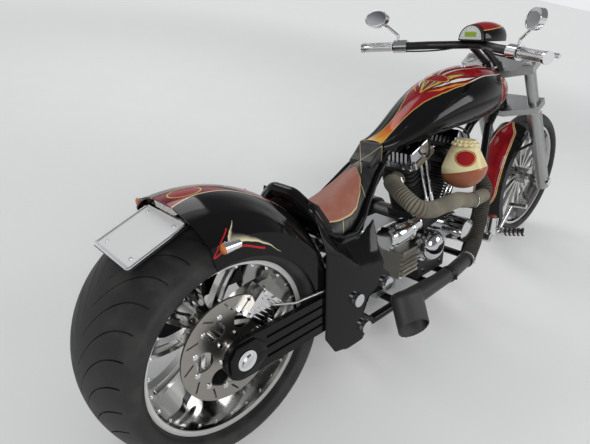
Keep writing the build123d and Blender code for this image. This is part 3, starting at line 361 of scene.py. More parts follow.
def bow(first, middle, last, steps):
    """Places along the round arc through three places in a plane, both ends included."""
    (ax, ay), (bx, by), (cx, cy) = first, middle, last
    double = 2 * (ax * (by - cy) + bx * (cy - ay) + cx * (ay - by))
    a, b, c = ax**2 + ay**2, bx**2 + by**2, cx**2 + cy**2
    ox = (a * (by - cy) + b * (cy - ay) + c * (ay - by)) / double
    oy = (a * (cx - bx) + b * (ax - cx) + c * (bx - ax)) / double
    angles = [atan2(y - oy, x - ox) for x, y in (first, middle, last)]
    to_middle, to_last = ((angle - angles[0]) % (2 * pi) for angle in angles[1:])
    if to_last < to_middle:
        to_last -= 2 * pi
    size = sqrt((ax - ox) ** 2 + (ay - oy) ** 2)
    ways = [angles[0] + to_last * n / steps for n in range(steps + 1)]
    return [(ox + size * cos(way), oy + size * sin(way)) for way in ways]


def tyre(name, radius, crown, half, width, rim_half, rim_r, grooves, columns, reach, sweep, start, deep):
    """A tyre about its axle: its rows follow the grooves, and each groove is one column pressed in."""
    rows = 14
    shoulder = radius - crown + sqrt(crown**2 - half**2)
    side = bow((half, shoulder), (width / 2, (rim_r + shoulder) / 2), (rim_half + 0.001, rim_r + 0.0015), 8)
    side = side[1:] + [(rim_half - 0.007, rim_r + 0.001), (rim_half - 0.014, rim_r - 0.01285)]
    tread = [(y, radius - crown + sqrt(crown**2 - y**2))
             for y in (half * row / rows for row in range(rows + 1))]
    across = [(-y, r) for y, r in reversed(side)] + [(-y, r) for y, r in reversed(tread)] + tread[1:] + side
    piece = begin(name)
    backs = [sweep_back(y, reach, sweep) for y, _ in across]
    draw([(r * sin(back), y, r * cos(back)) for (y, r), back in zip(across, backs)])
    turn(grooves * columns, (0, 1, 0))
    step = 2 * pi / (grooves * columns)

    def in_groove(middle, normal):
        if not start < abs(middle.y) < reach or sqrt(middle.x**2 + middle.z**2) < shoulder - 0.003:
            return False
        column = round((atan2(middle.x, middle.z) - sweep_back(middle.y, reach, sweep)) / step - 0.5)
        return column % columns == (0 if middle.y < 0 else columns // 2)

    ops.object.mode_set(mode="EDIT")
    pick(in_groove)
    ops.mesh.inset(thickness=0.0006, depth=0)
    ops.mesh.extrude_region_shrink_fatten(TRANSFORM_OT_shrink_fatten={"value": -deep})
    ops.object.mode_set(mode="OBJECT")
    return piece


REAR_R = 0.334
REAR_HUB = PARKED @ shift(0, 0, REAR_R)
ON_REAR = (REAR_HUB, "rear_wheel_body")
REAR_TYRE = dict(radius=REAR_R, crown=0.300, half=0.1581, width=0.340, rim_half=0.136, rim_r=0.243,
                 grooves=30, columns=12, reach=0.150, sweep=0.50, start=0.010, deep=0.0055)
rubber = Finish("tyre rubber", (0.020, 0.020, 0.021), 0.62, Specular_IOR_Level=0.35)
grey_dust = rubber.patches(18.0, 6.0, 0.42, 0.75)
rubber.set("Base Color", rubber.blend(grey_dust, (0.018, 0.018, 0.019), (0.040, 0.038, 0.035)))
rubber.set("Roughness", grey_dust * 0.2 + 0.55)
rubber.bump(rubber.noise(1400.0), 0.15)
rear_tyre = settle(tyre("rear_tyre_moulded", **REAR_TYRE), rubber, "tyre_rubber", *ON_REAR)
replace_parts(rear_tyre, "rear_tyre")

# Front tyre: the tall narrow one of the same rubber, with short moulded grooves close to its
# shoulders. It is seated on the rim by its beads too.
FRONT_HUB = STEERED @ shift(2.05, 0, 0.339515)
ON_FRONT = (FRONT_HUB, "front_wheel_body")
FRONT_TYRE = dict(radius=0.346, crown=0.066, half=0.05766, width=0.124, rim_half=0.044, rim_r=0.279,
                  grooves=36, columns=8, reach=0.052, sweep=0.16, start=0.006, deep=0.004)
front_tyre = settle(tyre("front_tyre_moulded", **FRONT_TYRE), rubber, "tyre_rubber", *ON_FRONT)
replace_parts(front_tyre, "front_tyre")


# Rear wheel: a deep one-piece rim with a satin lip, a polished barrel and slotted spokes, all
# machined from aluminium and plated, with a row of small bolts inside its right lip.
def plated(name, colour, roughness=0.05):
    """Bright plate or polish with faint smudges."""
    plate = Finish(name, colour, roughness, 1.0)
    smudge = plate.patches(14.0, 5.0, 0.4, 0.75)
    plate.set("Roughness", smudge * 0.10 + roughness)
    plate.set("Base Color", plate.blend(smudge, colour, tuple(c * 0.93 for c in colour)))
    return plate


def wheel_plate(name, hub, lip_from, lip_side):
    """Plate that is bright all over but satin on the flat lip of the rim."""
    bright, dull = (0.50, 0.495, 0.48), (0.60, 0.60, 0.58)
    plate = plated(name, bright, 0.12)
    x, y, z = plate.where(hub)
    out = plate.sum("SQRT", x * x + z * z)
    lip = plate.clear(out, lip_from, lip_from + 0.001) * (abs(y) > lip_side)
    plate.set("Roughness", lip * (plate.rings(out, 900.0, 2.0) * 0.15 + 0.18) + 0.12)
    plate.set("Metallic", 1 - lip * 0.75)
    plate.set("Base Color", plate.blend(lip, bright, dull))
    return plate


dress(wheel_plate("plated rear rim", REAR_HUB, 0.2285, 0.118), "rear_wheel")
chrome = plated("chrome", (0.78, 0.78, 0.79))


def spread(master, places, name):
    """Copy a small modelled piece to each place, a matrix apiece, and join the copies."""
    copies = []
    for place in places:
        copy = master.copy()
        copy.data = master.data.copy()
        copy.data.transform(place)
        bpy.context.collection.objects.link(copy)
        copies.append(copy)
    bpy.data.objects.remove(master)
    hold(*copies)
    if len(copies) > 1:
        ops.object.join()
    copies[0].name = name
    return copies[0]


def bolt(radius, height, sides=6, socket=0.5):
    """One screw head on its washer at the origin, facing up, with a socket pressed into it."""
    ops.object.select_all(action="DESELECT")
    ops.mesh.primitive_cylinder_add(vertices=24, radius=radius * 1.25, depth=height * 0.25,
                                    location=(0, 0, height * 0.125), enter_editmode=True)
    head = bpy.context.object
    ops.mesh.select_all(action="DESELECT")
    ops.mesh.primitive_cylinder_add(vertices=sides, radius=radius, depth=height,
                                    location=(0, 0, height * 0.5))
    pick(lambda middle, normal: normal.z > 0.9 and middle.z > height * 0.9)
    ops.mesh.bevel(offset=radius * 0.12, segments=2, affect="EDGES")
    pick(lambda middle, normal: normal.z > 0.99 and middle.z > height * 0.9)
    ops.mesh.inset(thickness=radius * socket, depth=0)
    ops.mesh.extrude_region_shrink_fatten(TRANSFORM_OT_shrink_fatten={"value": -height * 0.4})
    ops.object.mode_set(mode="OBJECT")
    return head


def screws(name, size, places, place=PARKED, body="chassis", finish=chrome, slot="chrome"):
    """Screw heads of one size, one at each place, as one piece."""
    settle(spread(bolt(*size), places, name), finish, slot, place, body)


def facing(point, along):
    """A matrix that stands a piece on a point with its top along a direction."""
    return Matrix.Translation(point) @ Vector(along).to_track_quat("Z", "Y").to_matrix().to_4x4()


def on_rim(centre, radius, angles):
    """Places round a centre in an upright plane along the machine, facing out to its side."""
    x, y, z = centre
    return [facing((x + radius * cos(a), y, z + radius * sin(a)), (0, 1 if y > 0 else -1, 0)) for a in angles]


def evenly(count, first=0.0):
    """Angles all round, from the first."""
    return [first + 2 * pi * number / count for number in range(count)]


screws("rear_rim_bolts", (0.0032, 0.004, 12), on_rim((0, -0.1229, 0), 0.2215, evenly(27)), *ON_REAR)

# Front wheel: a tall narrow rim of the same plated aluminium, machined in one piece with its
# hub and its thin spokes. Its lip is satin like the rear one's.
dress(wheel_plate("plated front rim", FRONT_HUB, 0.266, 0.036), "front_wheel")


# Brake discs: ground steel rings with slanted slots, a little bronze from heat, carried on
# polished spiders by round bobbins. The rear one's carrier is bolted to the hub.
def ground_steel(name, hub):
    """Steel ground in rings about its axle."""
    steel = Finish(name, (0.46, 0.45, 0.44), 0.30, 1.0)
    x, y, z = steel.where(hub)
    marks = steel.rings(steel.sum("SQRT", x * x + z * z), 2400.0, 3.0)
    steel.set("Roughness", marks * 0.22 + 0.20)
    steel.set("Base Color", steel.blend(marks, (0.26, 0.245, 0.22), (0.42, 0.40, 0.365)))
    steel.bump(marks, 0.2, 0.0002)
    return steel


dress(ground_steel("ground rear disc", REAR_HUB), "rear_disc")
dress(ground_steel("ground front disc", FRONT_HUB), "front_disc")
polished_alloy = plated("polished aluminium", (0.68, 0.68, 0.69), 0.13)
POLISHED = (polished_alloy, "polished_alloy")
screws("rear_disc_bobbins", (0.0062, 0.003, 16, 0.45), on_rim((0, -0.134, 0), 0.108, evenly(12, 0.26)),
       *ON_REAR, *POLISHED)
screws("rear_carrier_bolts", (0.0052, 0.006), on_rim((0, -0.133, 0), 0.042, evenly(5)), *ON_REAR)
screws("front_disc_bobbins", (0.0055, 0.003, 16, 0.45), on_rim((0, 0.0645, 0), 0.116, evenly(10, 0.2)),
       *ON_FRONT, *POLISHED)


# Belt pulley and belt: a cast pulley with a toothed rim under satin black, bolted to the hub on
# the left, and a ribbed rubber belt that runs round it and the one on the gearbox.
def satin(name, colour, roughness, metallic=0.0):
    """Powder coat or bead-blasted metal: even, with fine grain."""
    coat = Finish(name, colour, roughness, metallic, Specular_IOR_Level=0.35)
    coat.set("Roughness", coat.noise(30.0, 4.0) * 0.12 + (roughness - 0.06))
    coat.bump(coat.noise(900.0), 0.12)
    return coat


satin_black = satin("satin black", (0.016, 0.016, 0.017), 0.36)
dress(satin_black, "rear_pulley")
belt = satin("belt rubber", (0.012, 0.012, 0.012), 0.6)
belt.bump(belt.ridges(belt.where(PARKED)[1], 3.0), 0.5, 0.002)
dress(belt, "drive_belt")
screws("pulley_bolts", (0.007, 0.006), on_rim((0, 0.205, 0), 0.054, evenly(5, 0.63)), *ON_REAR)


# Rear axle: chrome caps with a flat oval boss, over angular plates that clamp the axle to the
# arms. The plates are cut from steel and lacquered with the arms.
def soften(piece, width, segments=3):
    """Round a piece's sharp edges over."""
    rounding = piece.modifiers.new("rounding", "BEVEL")
    rounding.width, rounding.segments, rounding.angle_limit = width, segments, radians(35)
    bpy.context.view_layer.objects.active = piece
    ops.object.modifier_apply(modifier=rounding.name)


def cut_out(name, outline, thick, edge=0.001, frame_wide=0.0):
    """A plate from its outline, raised along Z with soft edges, or only a frame inside its outline."""
    piece = begin(name)
    draw([(x, y, 0) for x, y in outline])
    ops.mesh.select_all(action="SELECT")
    ops.mesh.edge_face_add()
    ops.mesh.select_mode(type="FACE")
    ops.mesh.select_all(action="SELECT")
    if frame_wide:
        ops.mesh.inset(thickness=frame_wide, depth=0)
        ops.mesh.delete(type="FACE")
        ops.mesh.select_all(action="SELECT")
    ops.mesh.extrude_region_move(TRANSFORM_OT_translate={"value": (0, 0, thick)})
    ops.mesh.select_all(action="SELECT")
    ops.mesh.normals_make_consistent(inside=False)
    ops.object.mode_set(mode="OBJECT")
    soften(piece, edge, 2 if frame_wide else 3)
    return piece


def ellipse(along, across, steps):
    """Outline of an ellipse from its half lengths."""
    return [(along * cos(a), across * sin(a)) for a in evenly(steps)]


dress(chrome, "rear_axle", "front_axle")
AXLE_HOLE = ellipse(0.0285, 0.0285, 40)
CLAMP_CORNERS = [(0.062, 0), (0.062, 0.020), (0.030, 0.048), (-0.026, 0.048), (-0.048, 0.022),
                 (-0.048, -0.022), (-0.026, -0.048), (0.030, -0.048), (0.062, -0.020), (0.062, -0.0001)]
for side, way, skin in (("right", -1, 0.193), ("left", 1, 0.237)):
    stand_off = PARKED @ shift(0, way * skin, REAR_R) @ rotated(way * -90, "X")
    clamp = cut_out(f"axle_plate_{side}", AXLE_HOLE + AXLE_HOLE[:1] + CLAMP_CORNERS[::-1], 0.007)
    settle(clamp, black_lacquer, "black_paint", stand_off)
    boss = cut_out(f"axle_boss_{side}", ellipse(0.020, 0.010, 32), 0.004, 0.0015)
    settle(boss, *POLISHED, stand_off @ shift(0, 0, 0.009) @ rotated(35, "Z"))

# Rear caliper: a polished billet block over the disc, with milled cooling fins, bolted to a lug
# on the right arm. Its braided hose runs to the side cover.
caliper = plated("polished billet", (0.66, 0.66, 0.67), 0.11)
caliper.bump(caliper.noise(60.0, 4.0, (1, 1, 8)), 0.1, 0.0004)
dress(caliper, "rear_caliper", "front_caliper")
braid = satin("braided steel", (0.5, 0.5, 0.5), 0.32, 1.0)
braid.bump(braid.cells(900.0), 0.6, 0.0006)
dress(braid, "brake_hose")


def four_corners(middle, x, y, z):
    """Places at the corners of a rectangle, from its half lengths."""
    return [middle @ shift(to_x * x, to_y * y, z) for to_x in (-1, 1) for to_y in (-1, 1)]


FIN_SIZE, FIN_PITCH = (0.005, 0.060, 0.006), 0.012
caliper_face = shift(0, 0, REAR_R) @ rotated(-42, "Y") @ shift(0.128, -0.158, 0) @ rotated(90, "X")
ops.mesh.primitive_cube_add(size=1, location=(0, 0, FIN_SIZE[2] / 2))
fin = bpy.context.object
fin.scale = FIN_SIZE
hold(fin)
ops.object.transform_apply(location=True, rotation=True, scale=True)
soften(fin, min(FIN_SIZE) * 0.3, 2)
settle(spread(fin, [shift((n - 2.5) * FIN_PITCH, 0, 0) for n in range(6)], "caliper_fins"),
       caliper, "polished_alloy", PARKED @ caliper_face)
screws("rear_caliper_bolts", (0.006, 0.008), four_corners(caliper_face, 0.034, 0.038, 0))

# Rear fender: one pressed shell in gloss black, a red panel with pale lines along its crown, and
# a pale scallop with a red outline on each side. A crease runs above its lower edge.
PALE, FADED_RED, SIGNAL_RED = (0.70, 0.62, 0.42), (0.14, 0.006, 0.010), (0.42, 0.015, 0.02)
fender = lacquer("fender lacquer")
x, y, z = fender.where(PARKED)
aside, lift = abs(y), z - REAR_R
crest = fender.course(x, ((-0.10, 0.056), (-0.03, 0.040), (0.03, 0.035), (0.10, 0.040), (0.16, 0.058),
                          (0.24, 0.064), (0.37, 0.068)))
flames = fender.patches(22.0, 3.0, 0.42, 0.62, (0.5, 1.4, 1))
slant = x - aside * 0.9
badge = (x + 0.012) * (x + 0.012) / 0.0019 + y * y / 0.00085
low_arm = fender.course(x, ((-0.030, 0.6468), (-0.010, 0.6490), (0.008, 0.6480), (0.040, 0.6405),
                            (0.072, 0.6265), (0.107, 0.6045), (0.140, 0.578)))
low_full = fender.course(x, ((-0.030, 0.014), (0.0, 0.022), (0.060, 0.012), (0.107, 0.005), (0.140, 0.0005)))
high_arm = fender.course(z, ((0.646, -0.0300), (0.656, -0.0205), (0.668, -0.0095), (0.676, 0.003),
                             (0.688, 0.022)))
high_full = fender.course(z, ((0.646, 0.022), (0.660, 0.016), (0.672, 0.010), (0.688, 0.0008)))
above_arm, ahead_arm = z - low_arm, x - high_arm
low_glow = ((1 - fender.clear(above_arm, 0, low_full)) * fender.edge(above_arm, 0.0003)
            * (x > -0.030) * (x < 0.135))
high_glow = ((1 - fender.clear(ahead_arm, 0, high_full)) * fender.edge(ahead_arm, 0.0003)
             * (z > 0.6468) * (z < 0.687))
glow = fender.sum("MAXIMUM", low_glow * fender.edge(ahead_arm, 0.0003), high_glow)
red_low = fender.course(x, ((-0.056, 0.6300), (-0.036, 0.6368), (-0.012, 0.6385), (0.036, 0.6305),
                            (0.085, 0.6085)))
red_high = fender.course(z, ((0.630, -0.0560), (0.645, -0.0465), (0.659, -0.0365), (0.679, -0.0040)))
side_only = aside > 0.120
fender.set("Base Color", fender.paint(
    fender.blend(fender.edge(crest - aside), BLACK, fender.blend(flames, CANDY, FADED_RED)),
    (fender.line(slant - 0.084, 0.016) * (crest > aside), BLACK),
    (fender.line(slant - 0.103, 0.0016) * (crest > aside), (0.75, 0.72, 0.66)),
    (fender.line(aside - crest, 0.0016) * (z > 0.5), PALE),
    (fender.clear(1.30 - badge, 0, 0.02), BLACK),
    (fender.clear(1.12 - badge, 0, 0.02), GOLD),
    (fender.clear(0.90 - badge, 0, 0.02), CANDY),
    (glow * side_only, PALE),
    (fender.line(z - red_low, 0.0026) * (x > -0.056) * (x < 0.085) * side_only, SIGNAL_RED),
    (fender.line(x - red_high, 0.0022) * (z > 0.630) * (z < 0.679) * side_only, SIGNAL_RED)))
crease = fender.sum("SQRT", x * x + lift * lift) - fender.course(
    fender.sum("ARCTAN2", lift, x),
    ((0.80, 0.312), (1.0, 0.331), (1.20, 0.351), (1.40, 0.362), (1.60, 0.366)))
fender.bump(fender.edge(crease, 0.004) * (1 - fender.clear(crease, 0.0, 0.022)), 0.8, 0.004)
dress(fender, "rear_fender")

# Tail lamp, plate and signals: a clear prismatic lens over a silver reflector, a blank plate in
# a chrome frame held by four screws, and two small chrome bullet signals with amber lenses.
lens = Finish("clear lens", (0.62, 0.60, 0.58), 0.12, Coat_Weight=0.6, Coat_Roughness=0.04)
prisms = lens.cells(260.0)
lens.set("Base Color", lens.blend(prisms, (0.30, 0.22, 0.21), (0.78, 0.76, 0.74)))
lens.bump(prisms, 0.6, 0.002)
dress(lens, "tail_lamp")
blank = satin("blank plate", (0.74, 0.74, 0.73), 0.35)
blank.bump(blank.noise(40.0, 3.0), 0.05)
dress(blank, "number_plate")
dress(satin_black, "plate_bracket")
dress(chrome, "turn_signals")
PLATE = shift(-0.136, 0, 0.655) @ rotated(-22, "Y") @ rotated(90, "Z")


def rounded(width, height, radius):
    """Outline of a rectangle with round corners, counter-clockwise."""
    steps = 6
    turned = [(sx, sy, radians(start + 90 * n / steps))
              for sx, sy, start in ((1, 1, 0), (-1, 1, 90), (-1, -1, 180), (1, -1, 270))
              for n in range(steps + 1)]
    return [(sx * (width / 2 - radius) + radius * cos(a), sy * (height / 2 - radius) + radius * sin(a))
            for sx, sy, a in turned]


def lathe(name, profile, steps=40):
    """A turned piece about Z: its profile as radius and height, from the foot to the top."""
    piece = begin(name)
    draw([(r, 0, h) for r, h in profile])
    turn(steps, (0, 0, 1))
    return piece


settle(cut_out("plate_frame", rounded(0.194, 0.167, 0.010), 0.0045, 0.00135, 0.009),
       chrome, "chrome", PARKED @ PLATE)
screws("plate_screws", (0.0042, 0.003, 16), four_corners(PLATE, 0.066, 0.058, 0.002))
amber = Finish("amber lens", (0.55, 0.16, 0.02), 0.1, Coat_Weight=0.5)
amber.bump(amber.cells(500.0), 0.4, 0.001)
for side, way in (("right", -1), ("left", 1)):
    dome = lathe(f"signal_lens_{side}", (
        (0, -0.0020), (0.0125, -0.0020), (0.0125, 0.0008), (0.0116, 0.0012), (0.0110, 0.0026),
        (0.0086, 0.0044), (0.0046, 0.0055), (0, 0.0058)), 28)
    settle(dome, amber, "lamp", PARKED @ facing((-0.0455, way * 0.208, 0.658), (-1, 0, 0)))

# Seat shell and roll: one moulding between the tank and the fender, in the frame's gloss black,
# with a raised rail along both edges of the seat. The pad is glued into it.
dress(black_lacquer, "seat_shell")

# Seat pad: one foam pad under dark leather with a brown panel sewn in. It swells a little at the
# crown, and gold piping follows the panel and crosses over the nose.
GOLD_THREAD, PANEL_END = (0.55, 0.42, 0.20), 0.632
leather = Finish("sewn leather", (0.05, 0.05, 0.05), 0.42, Specular_IOR_Level=0.45)
x, y, z = leather.where(PARKED)
aside = abs(y)
panel = leather.course(x, ((0.395, 0.084), (0.440, 0.089), (0.486, 0.090), (0.520, 0.088), (0.550, 0.080),
                           (0.585, 0.060), (0.612, 0.034), (PANEL_END, 0.0)))
wear = leather.patches(26.0, 6.0, 0.4, 0.75)
on_panel = leather.edge(panel - aside, 0.0006) * (x < PANEL_END)
piping = leather.line(aside - panel, 0.0016) * (x < 0.631)
for mask in (leather.line(aside - abs(x - 0.656) * 0.95, 0.0011) * (x > 0.622),
             leather.line(x - 0.594 + (aside - 0.06) * 0.3, 0.0010) * (aside > panel),
             leather.line(x - 0.470 + (aside - 0.09) * 0.9, 0.0010) * (aside > panel)):
    piping = leather.sum("MAXIMUM", piping, mask)
leather.set("Base Color", leather.paint(
    leather.blend(wear, (0.014, 0.014, 0.014), (0.030, 0.029, 0.028)),
    (on_panel, leather.blend(wear, (0.30, 0.105, 0.070), (0.36, 0.145, 0.105))),
    (piping, GOLD_THREAD)))
leather.set("Roughness", wear * 0.12 + on_panel * 0.16 + 0.30)
grain = leather.bump(leather.cells(650.0), 0.35, 0.0006)
seam = leather.clear(0.004 - abs(aside - panel), 0, 0.004) * (x < PANEL_END)
leather.bump(1 - seam, 0.9, 0.0025, grain)


def rub(piece, voxel, rounds):
    """Skin a piece anew with even small faces and rub its edges round."""
    hold(piece)
    skin = piece.modifiers.new("skin", "REMESH")
    skin.mode, skin.voxel_size = "VOXEL", voxel
    ops.object.modifier_apply(modifier=skin.name)
    rubbed = piece.modifiers.new("rubbed", "SMOOTH")
    rubbed.factor, rubbed.iterations = 0.5, rounds
    ops.object.modifier_apply(modifier=rubbed.name)


def soft_copy(node, name, voxel, rounds):
    """A copy of a CAD piece's mesh, welded and rubbed round."""
    copy = bpy.data.objects.new(name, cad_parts[node].data.copy())
    bpy.context.collection.objects.link(copy)
    hold(copy)
    ops.object.mode_set(mode="EDIT")
    ops.mesh.select_mode(type="VERT")
    ops.mesh.select_all(action="SELECT")
    ops.mesh.remove_doubles(threshold=0.0001)
    ops.object.mode_set(mode="OBJECT")
    rub(copy, voxel, rounds)
    return copy


HIDE_ROOM, MOST_SWELL, SWELL_STEPS = 0.0035, 0.009, 20
pad = soft_copy("seat_pad", "seat_pad_sewn", 0.005, 14)
ops.object.mode_set(mode="EDIT")
ops.mesh.select_all(action="SELECT")
ops.transform.shrink_fatten(value=-HIDE_ROOM)
ops.object.mode_set(mode="OBJECT")
upright = PARKED.inverted().to_3x3()
still = [vertex.co.copy() for vertex in pad.data.vertices]
resting = pad.vertex_groups.new(name="resting")
resting.add([v.index for v in pad.data.vertices if (upright @ v.normal).z < -0.35], 1.0, "REPLACE")
cloth = pad.modifiers.new("Cloth", "CLOTH")
cloth.settings.use_pressure, cloth.settings.uniform_pressure_force = True, 4.0
cloth.settings.vertex_group_mass = "resting"
cloth.settings.effector_weights.gravity = 0.0
for step in range(1, SWELL_STEPS + 1):
    bpy.context.scene.frame_set(step)
shape = pad.evaluated_get(bpy.context.evaluated_depsgraph_get()).data
swollen = [vertex.co.copy() for vertex in shape.vertices]
bpy.context.scene.frame_set(1)
pad.modifiers.clear()
for vertex, start, end in zip(pad.data.vertices, still, swollen):
    move = end - start
    vertex.co = start + move * min(1.0, MOST_SWELL / max(move.length, 1e-9))
finer = pad.modifiers.new("finer", "SUBSURF")
finer.levels = finer.render_levels = 1
ops.object.modifier_apply(modifier=finer.name)
settle(pad, leather, "leather", Matrix(), smooth=60)
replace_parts(pad, "seat_pad")

# Side covers: pressed shells under the seat, one each side, their corners and creases drawn round
# as a press leaves them, in the frame's black lacquer. Screws hold them to the frame inside.
pressed = settle(soft_copy("side_covers", "side_covers_pressed", 0.0035, 12), black_lacquer, "candy_black",
                 Matrix(), smooth=60)
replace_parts(pressed, "side_covers")

# Seat nose: a moulded wedge under the same black leather, which closes the step between the pad
# and the tail of the tank. It is glued to the front of the seat shell.
NOSE_SIDE = ((0.650, 0.660), (0.650, 0.677), (0.675, 0.6985), (0.698, 0.7225), (0.7135, 0.7395),
             (0.7115, 0.672))
NOSE_WIDTH = 0.098
seat_nose = cut_out("seat_nose", NOSE_SIDE, NOSE_WIDTH, 0.004)
rub(seat_nose, 0.0025, 16)
settle(seat_nose, leather, "leather", PARKED @ shift(0, NOSE_WIDTH / 2, 0) @ rotated(90, "X"), smooth=50)

# Fuel tank: one stretched steel shell under many coats. Black below, a flame of red that turns to
# gold over the seat, pale and gold blades across the shoulders, and bare oval panels.
tank = lacquer("tank lacquer", (0.20, 0.01, 0.012))
x, y, z = tank.where(PARKED)
aside = abs(y)
flame = tank.course(x, ((0.690, 0.040), (0.760, 0.026), (0.811, 0.020), (0.870, 0.022), (0.916, 0.032),
                        (0.957, 0.045), (0.995, 0.061), (1.031, 0.075), (1.100, 0.094), (1.145, 0.101),
                        (1.185, 0.103), (1.260, 0.102), (1.325, 0.101), (1.400, 0.092), (1.500, 0.066)))
above = z > tank.course(x, ((0.690, 0.718), (0.850, 0.752), (1.010, 0.80), (1.180, 0.84), (1.500, 0.85)))
FLAME_FROM, FLAME_TO = 0.715, 0.985
FLAME_COLOURS = ((0.66, 0.40, 0.06), (0.62, 0.26, 0.03), (0.50, 0.10, 0.02), (0.36, 0.025, 0.018),
                 (0.28, 0.010, 0.014), (0.26, 0.008, 0.013))
ragged = x + tank.noise(30.0, 3.0, (0.4, 2, 1)) * 0.03
warm = tank.ramp((ragged - FLAME_FROM) / (FLAME_TO - FLAME_FROM),
                 [(number / 5, colour) for number, colour in enumerate(FLAME_COLOURS)])
streaks = tank.patches(14.0, 4.0, 0.46, 0.66, (0.5, 2.4, 1))
body = tank.blend(tank.edge(flame - aside) * above * (x > 0.7145), BLACK,
                  tank.blend(streaks * 0.55, warm, (0.10, 0.004, 0.008)))
# columns: colour, then place along the tank with the blade's inner and outer edge
for tint, *blade in (
    ((0.60, 0.36, 0.07), (0.985, 0.000, 0.004), (1.012, 0.004, 0.016), (1.040, 0.018, 0.031),
     (1.090, 0.030, 0.048), (1.130, 0.041, 0.058), (1.180, 0.070, 0.070)),
    ((0.72, 0.70, 0.66), (1.015, 0.026, 0.026), (1.045, 0.040, 0.048), (1.090, 0.056, 0.068),
     (1.140, 0.074, 0.087), (1.215, 0.098, 0.098)),
    ((0.66, 0.20, 0.03), (0.985, 0.018, 0.018), (1.020, 0.044, 0.055), (1.060, 0.064, 0.074),
     (1.100, 0.080, 0.090), (1.150, 0.101, 0.101)),
    ((0.68, 0.62, 0.50), (1.000, 0.000, 0.000), (1.050, 0.010, 0.015), (1.110, 0.006, 0.014),
     (1.200, 0.028, 0.036), (1.290, 0.060, 0.060)),
):
    past_inner = aside - tank.course(x, [(place, inner) for place, inner, _ in blade])
    to_outer = tank.course(x, [(place, outer) for place, _, outer in blade]) - aside
    inside = (x > blade[0][0]) * (x < blade[-1][0]) * above
    body = tank.paint(body, *(
        (tank.clear(past_inner, out, out + 0.0006) * tank.clear(to_outer, out, out + 0.0006) * inside, colour)
        for out, colour in ((-0.0030, BLACK), (0, tank.blend(streaks, tint, tuple(c * 0.8 for c in tint))))))
top_oval = (x - 1.086) * (x - 1.086) / 0.00062 + y * y / 0.0026
side_oval = (x - 1.425) * (x - 1.425) / 0.0019 + (z - 0.853) * (z - 0.853) / 0.0026
tank.set("Base Color", tank.paint(
    body,
    (tank.line(aside - flame, 0.0017) * above,
     tank.blend(tank.clear(x, 1.12, 1.20), GOLD, (0.74, 0.68, 0.56))),
    (tank.line(aside - flame + 0.0055, 0.0008) * above * (x > 1.17), BLACK),
    *((tank.clear(limit - oval, 0, 0.03) * where, tint)
      for oval, where in ((top_oval, z > 0.85), (side_oval, aside > 0.075))
      for limit, tint in ((1.32, BLACK), (1.12, GOLD), (0.92, CANDY)))))
dress(tank, "fuel_tank")
screws("fuel_cap", (0.021, 0.007, 40, 0.3), [facing((1.265, 0, 0.9495), (0.02, 0, 1))])

# Engine: a V of two black cylinders on a coated case. The rear rocker cover is ribbed smoked
# chrome, the front one dark grey, both held down by bright screws at their rims. Chrome tubes
# carry the pushrods.
cast_black = satin("black cast coat", (0.014, 0.014, 0.015), 0.50)
cast_black.bump(cast_black.noise(260.0, 4.0), 0.35, 0.0012)
dress(cast_black, "engine_cases", "cylinders")
rocker = plated("smoked rocker plate", (0.40, 0.40, 0.42), 0.13)
x, y, z = rocker.where(PARKED)
rocker.set("Base Color", rocker.blend(rocker.edge(1.05 - x, 0.002), (0.10, 0.10, 0.105), (0.42, 0.42, 0.44)))
rocker.bump(rocker.ridges(y, 9.0), 0.55, 0.004)
dress(rocker, "rocker_covers")
dress(chrome, "pushrod_tubes")
BUFFED = (0.62, 0.62, 0.63)
covers = plated("buffed covers", BUFFED, 0.07)
x, y, z = covers.where(PARKED)
as_cast = (covers.clear(x, 0.655, 0.660) * covers.clear(0.872 - x, 0, 0.004)
           * covers.clear(0.368 - z, 0, 0.002))
covers.set("Roughness", as_cast * 0.22 + 0.08)
covers.set("Base Color", covers.blend(as_cast, BUFFED, (0.36, 0.345, 0.305)))
covers.bump(covers.noise(160.0, 4.0) * as_cast, 0.4, 0.0015)
dress(covers, "chrome_covers")
dress(satin("satin aluminium", (0.42, 0.43, 0.44), 0.36, 1.0), "gearbox")
dress(polished_alloy, "intake", "foot_controls")
CRANK, REAR_BANK, FRONT_BANK = Vector((1.050, 0, 0.310)), -22.5, 22.5


def on_bank(tilt, up, across, y):
    """A place measured along one cylinder from the crank, across it and to the left."""
    s, c = sin(radians(tilt)), cos(radians(tilt))
    return CRANK + Vector((s, 0, c)) * up + Vector((c, 0, -s)) * across + Vector((0, y, 0))


ROCKER_TOP, COVER_SKIN = 0.3893, -0.1003
screws("rocker_screws", (0.0058, 0.007), [
    facing(on_bank(tilt, ROCKER_TOP, across, y), on_bank(tilt, 1, 0, 0) - CRANK)
    for tilt in (REAR_BANK, FRONT_BANK)
    for across, y in ((-0.060, -0.090), (0.060, -0.090), (-0.060, 0.074), (0.060, 0.074),
                      (0, -0.092), (0, 0.076))])
screws("cam_cover_screws", (0.0045, 0.005),
       on_rim((0.970, COVER_SKIN, 0.298), 0.068, (1.2, 1.9, 2.6, 3.3, 4.0, 4.7))
       + on_rim((1.130, COVER_SKIN, 0.330), 0.059, (-1.3, -0.4, 0.5, 1.4)), finish=polished_alloy)
screws("gear_cover_screws", (0.0060, 0.006),
       four_corners(facing((0.792, -0.1353, 0.293), (0, -1, 0)), 0.050, 0.045, 0))

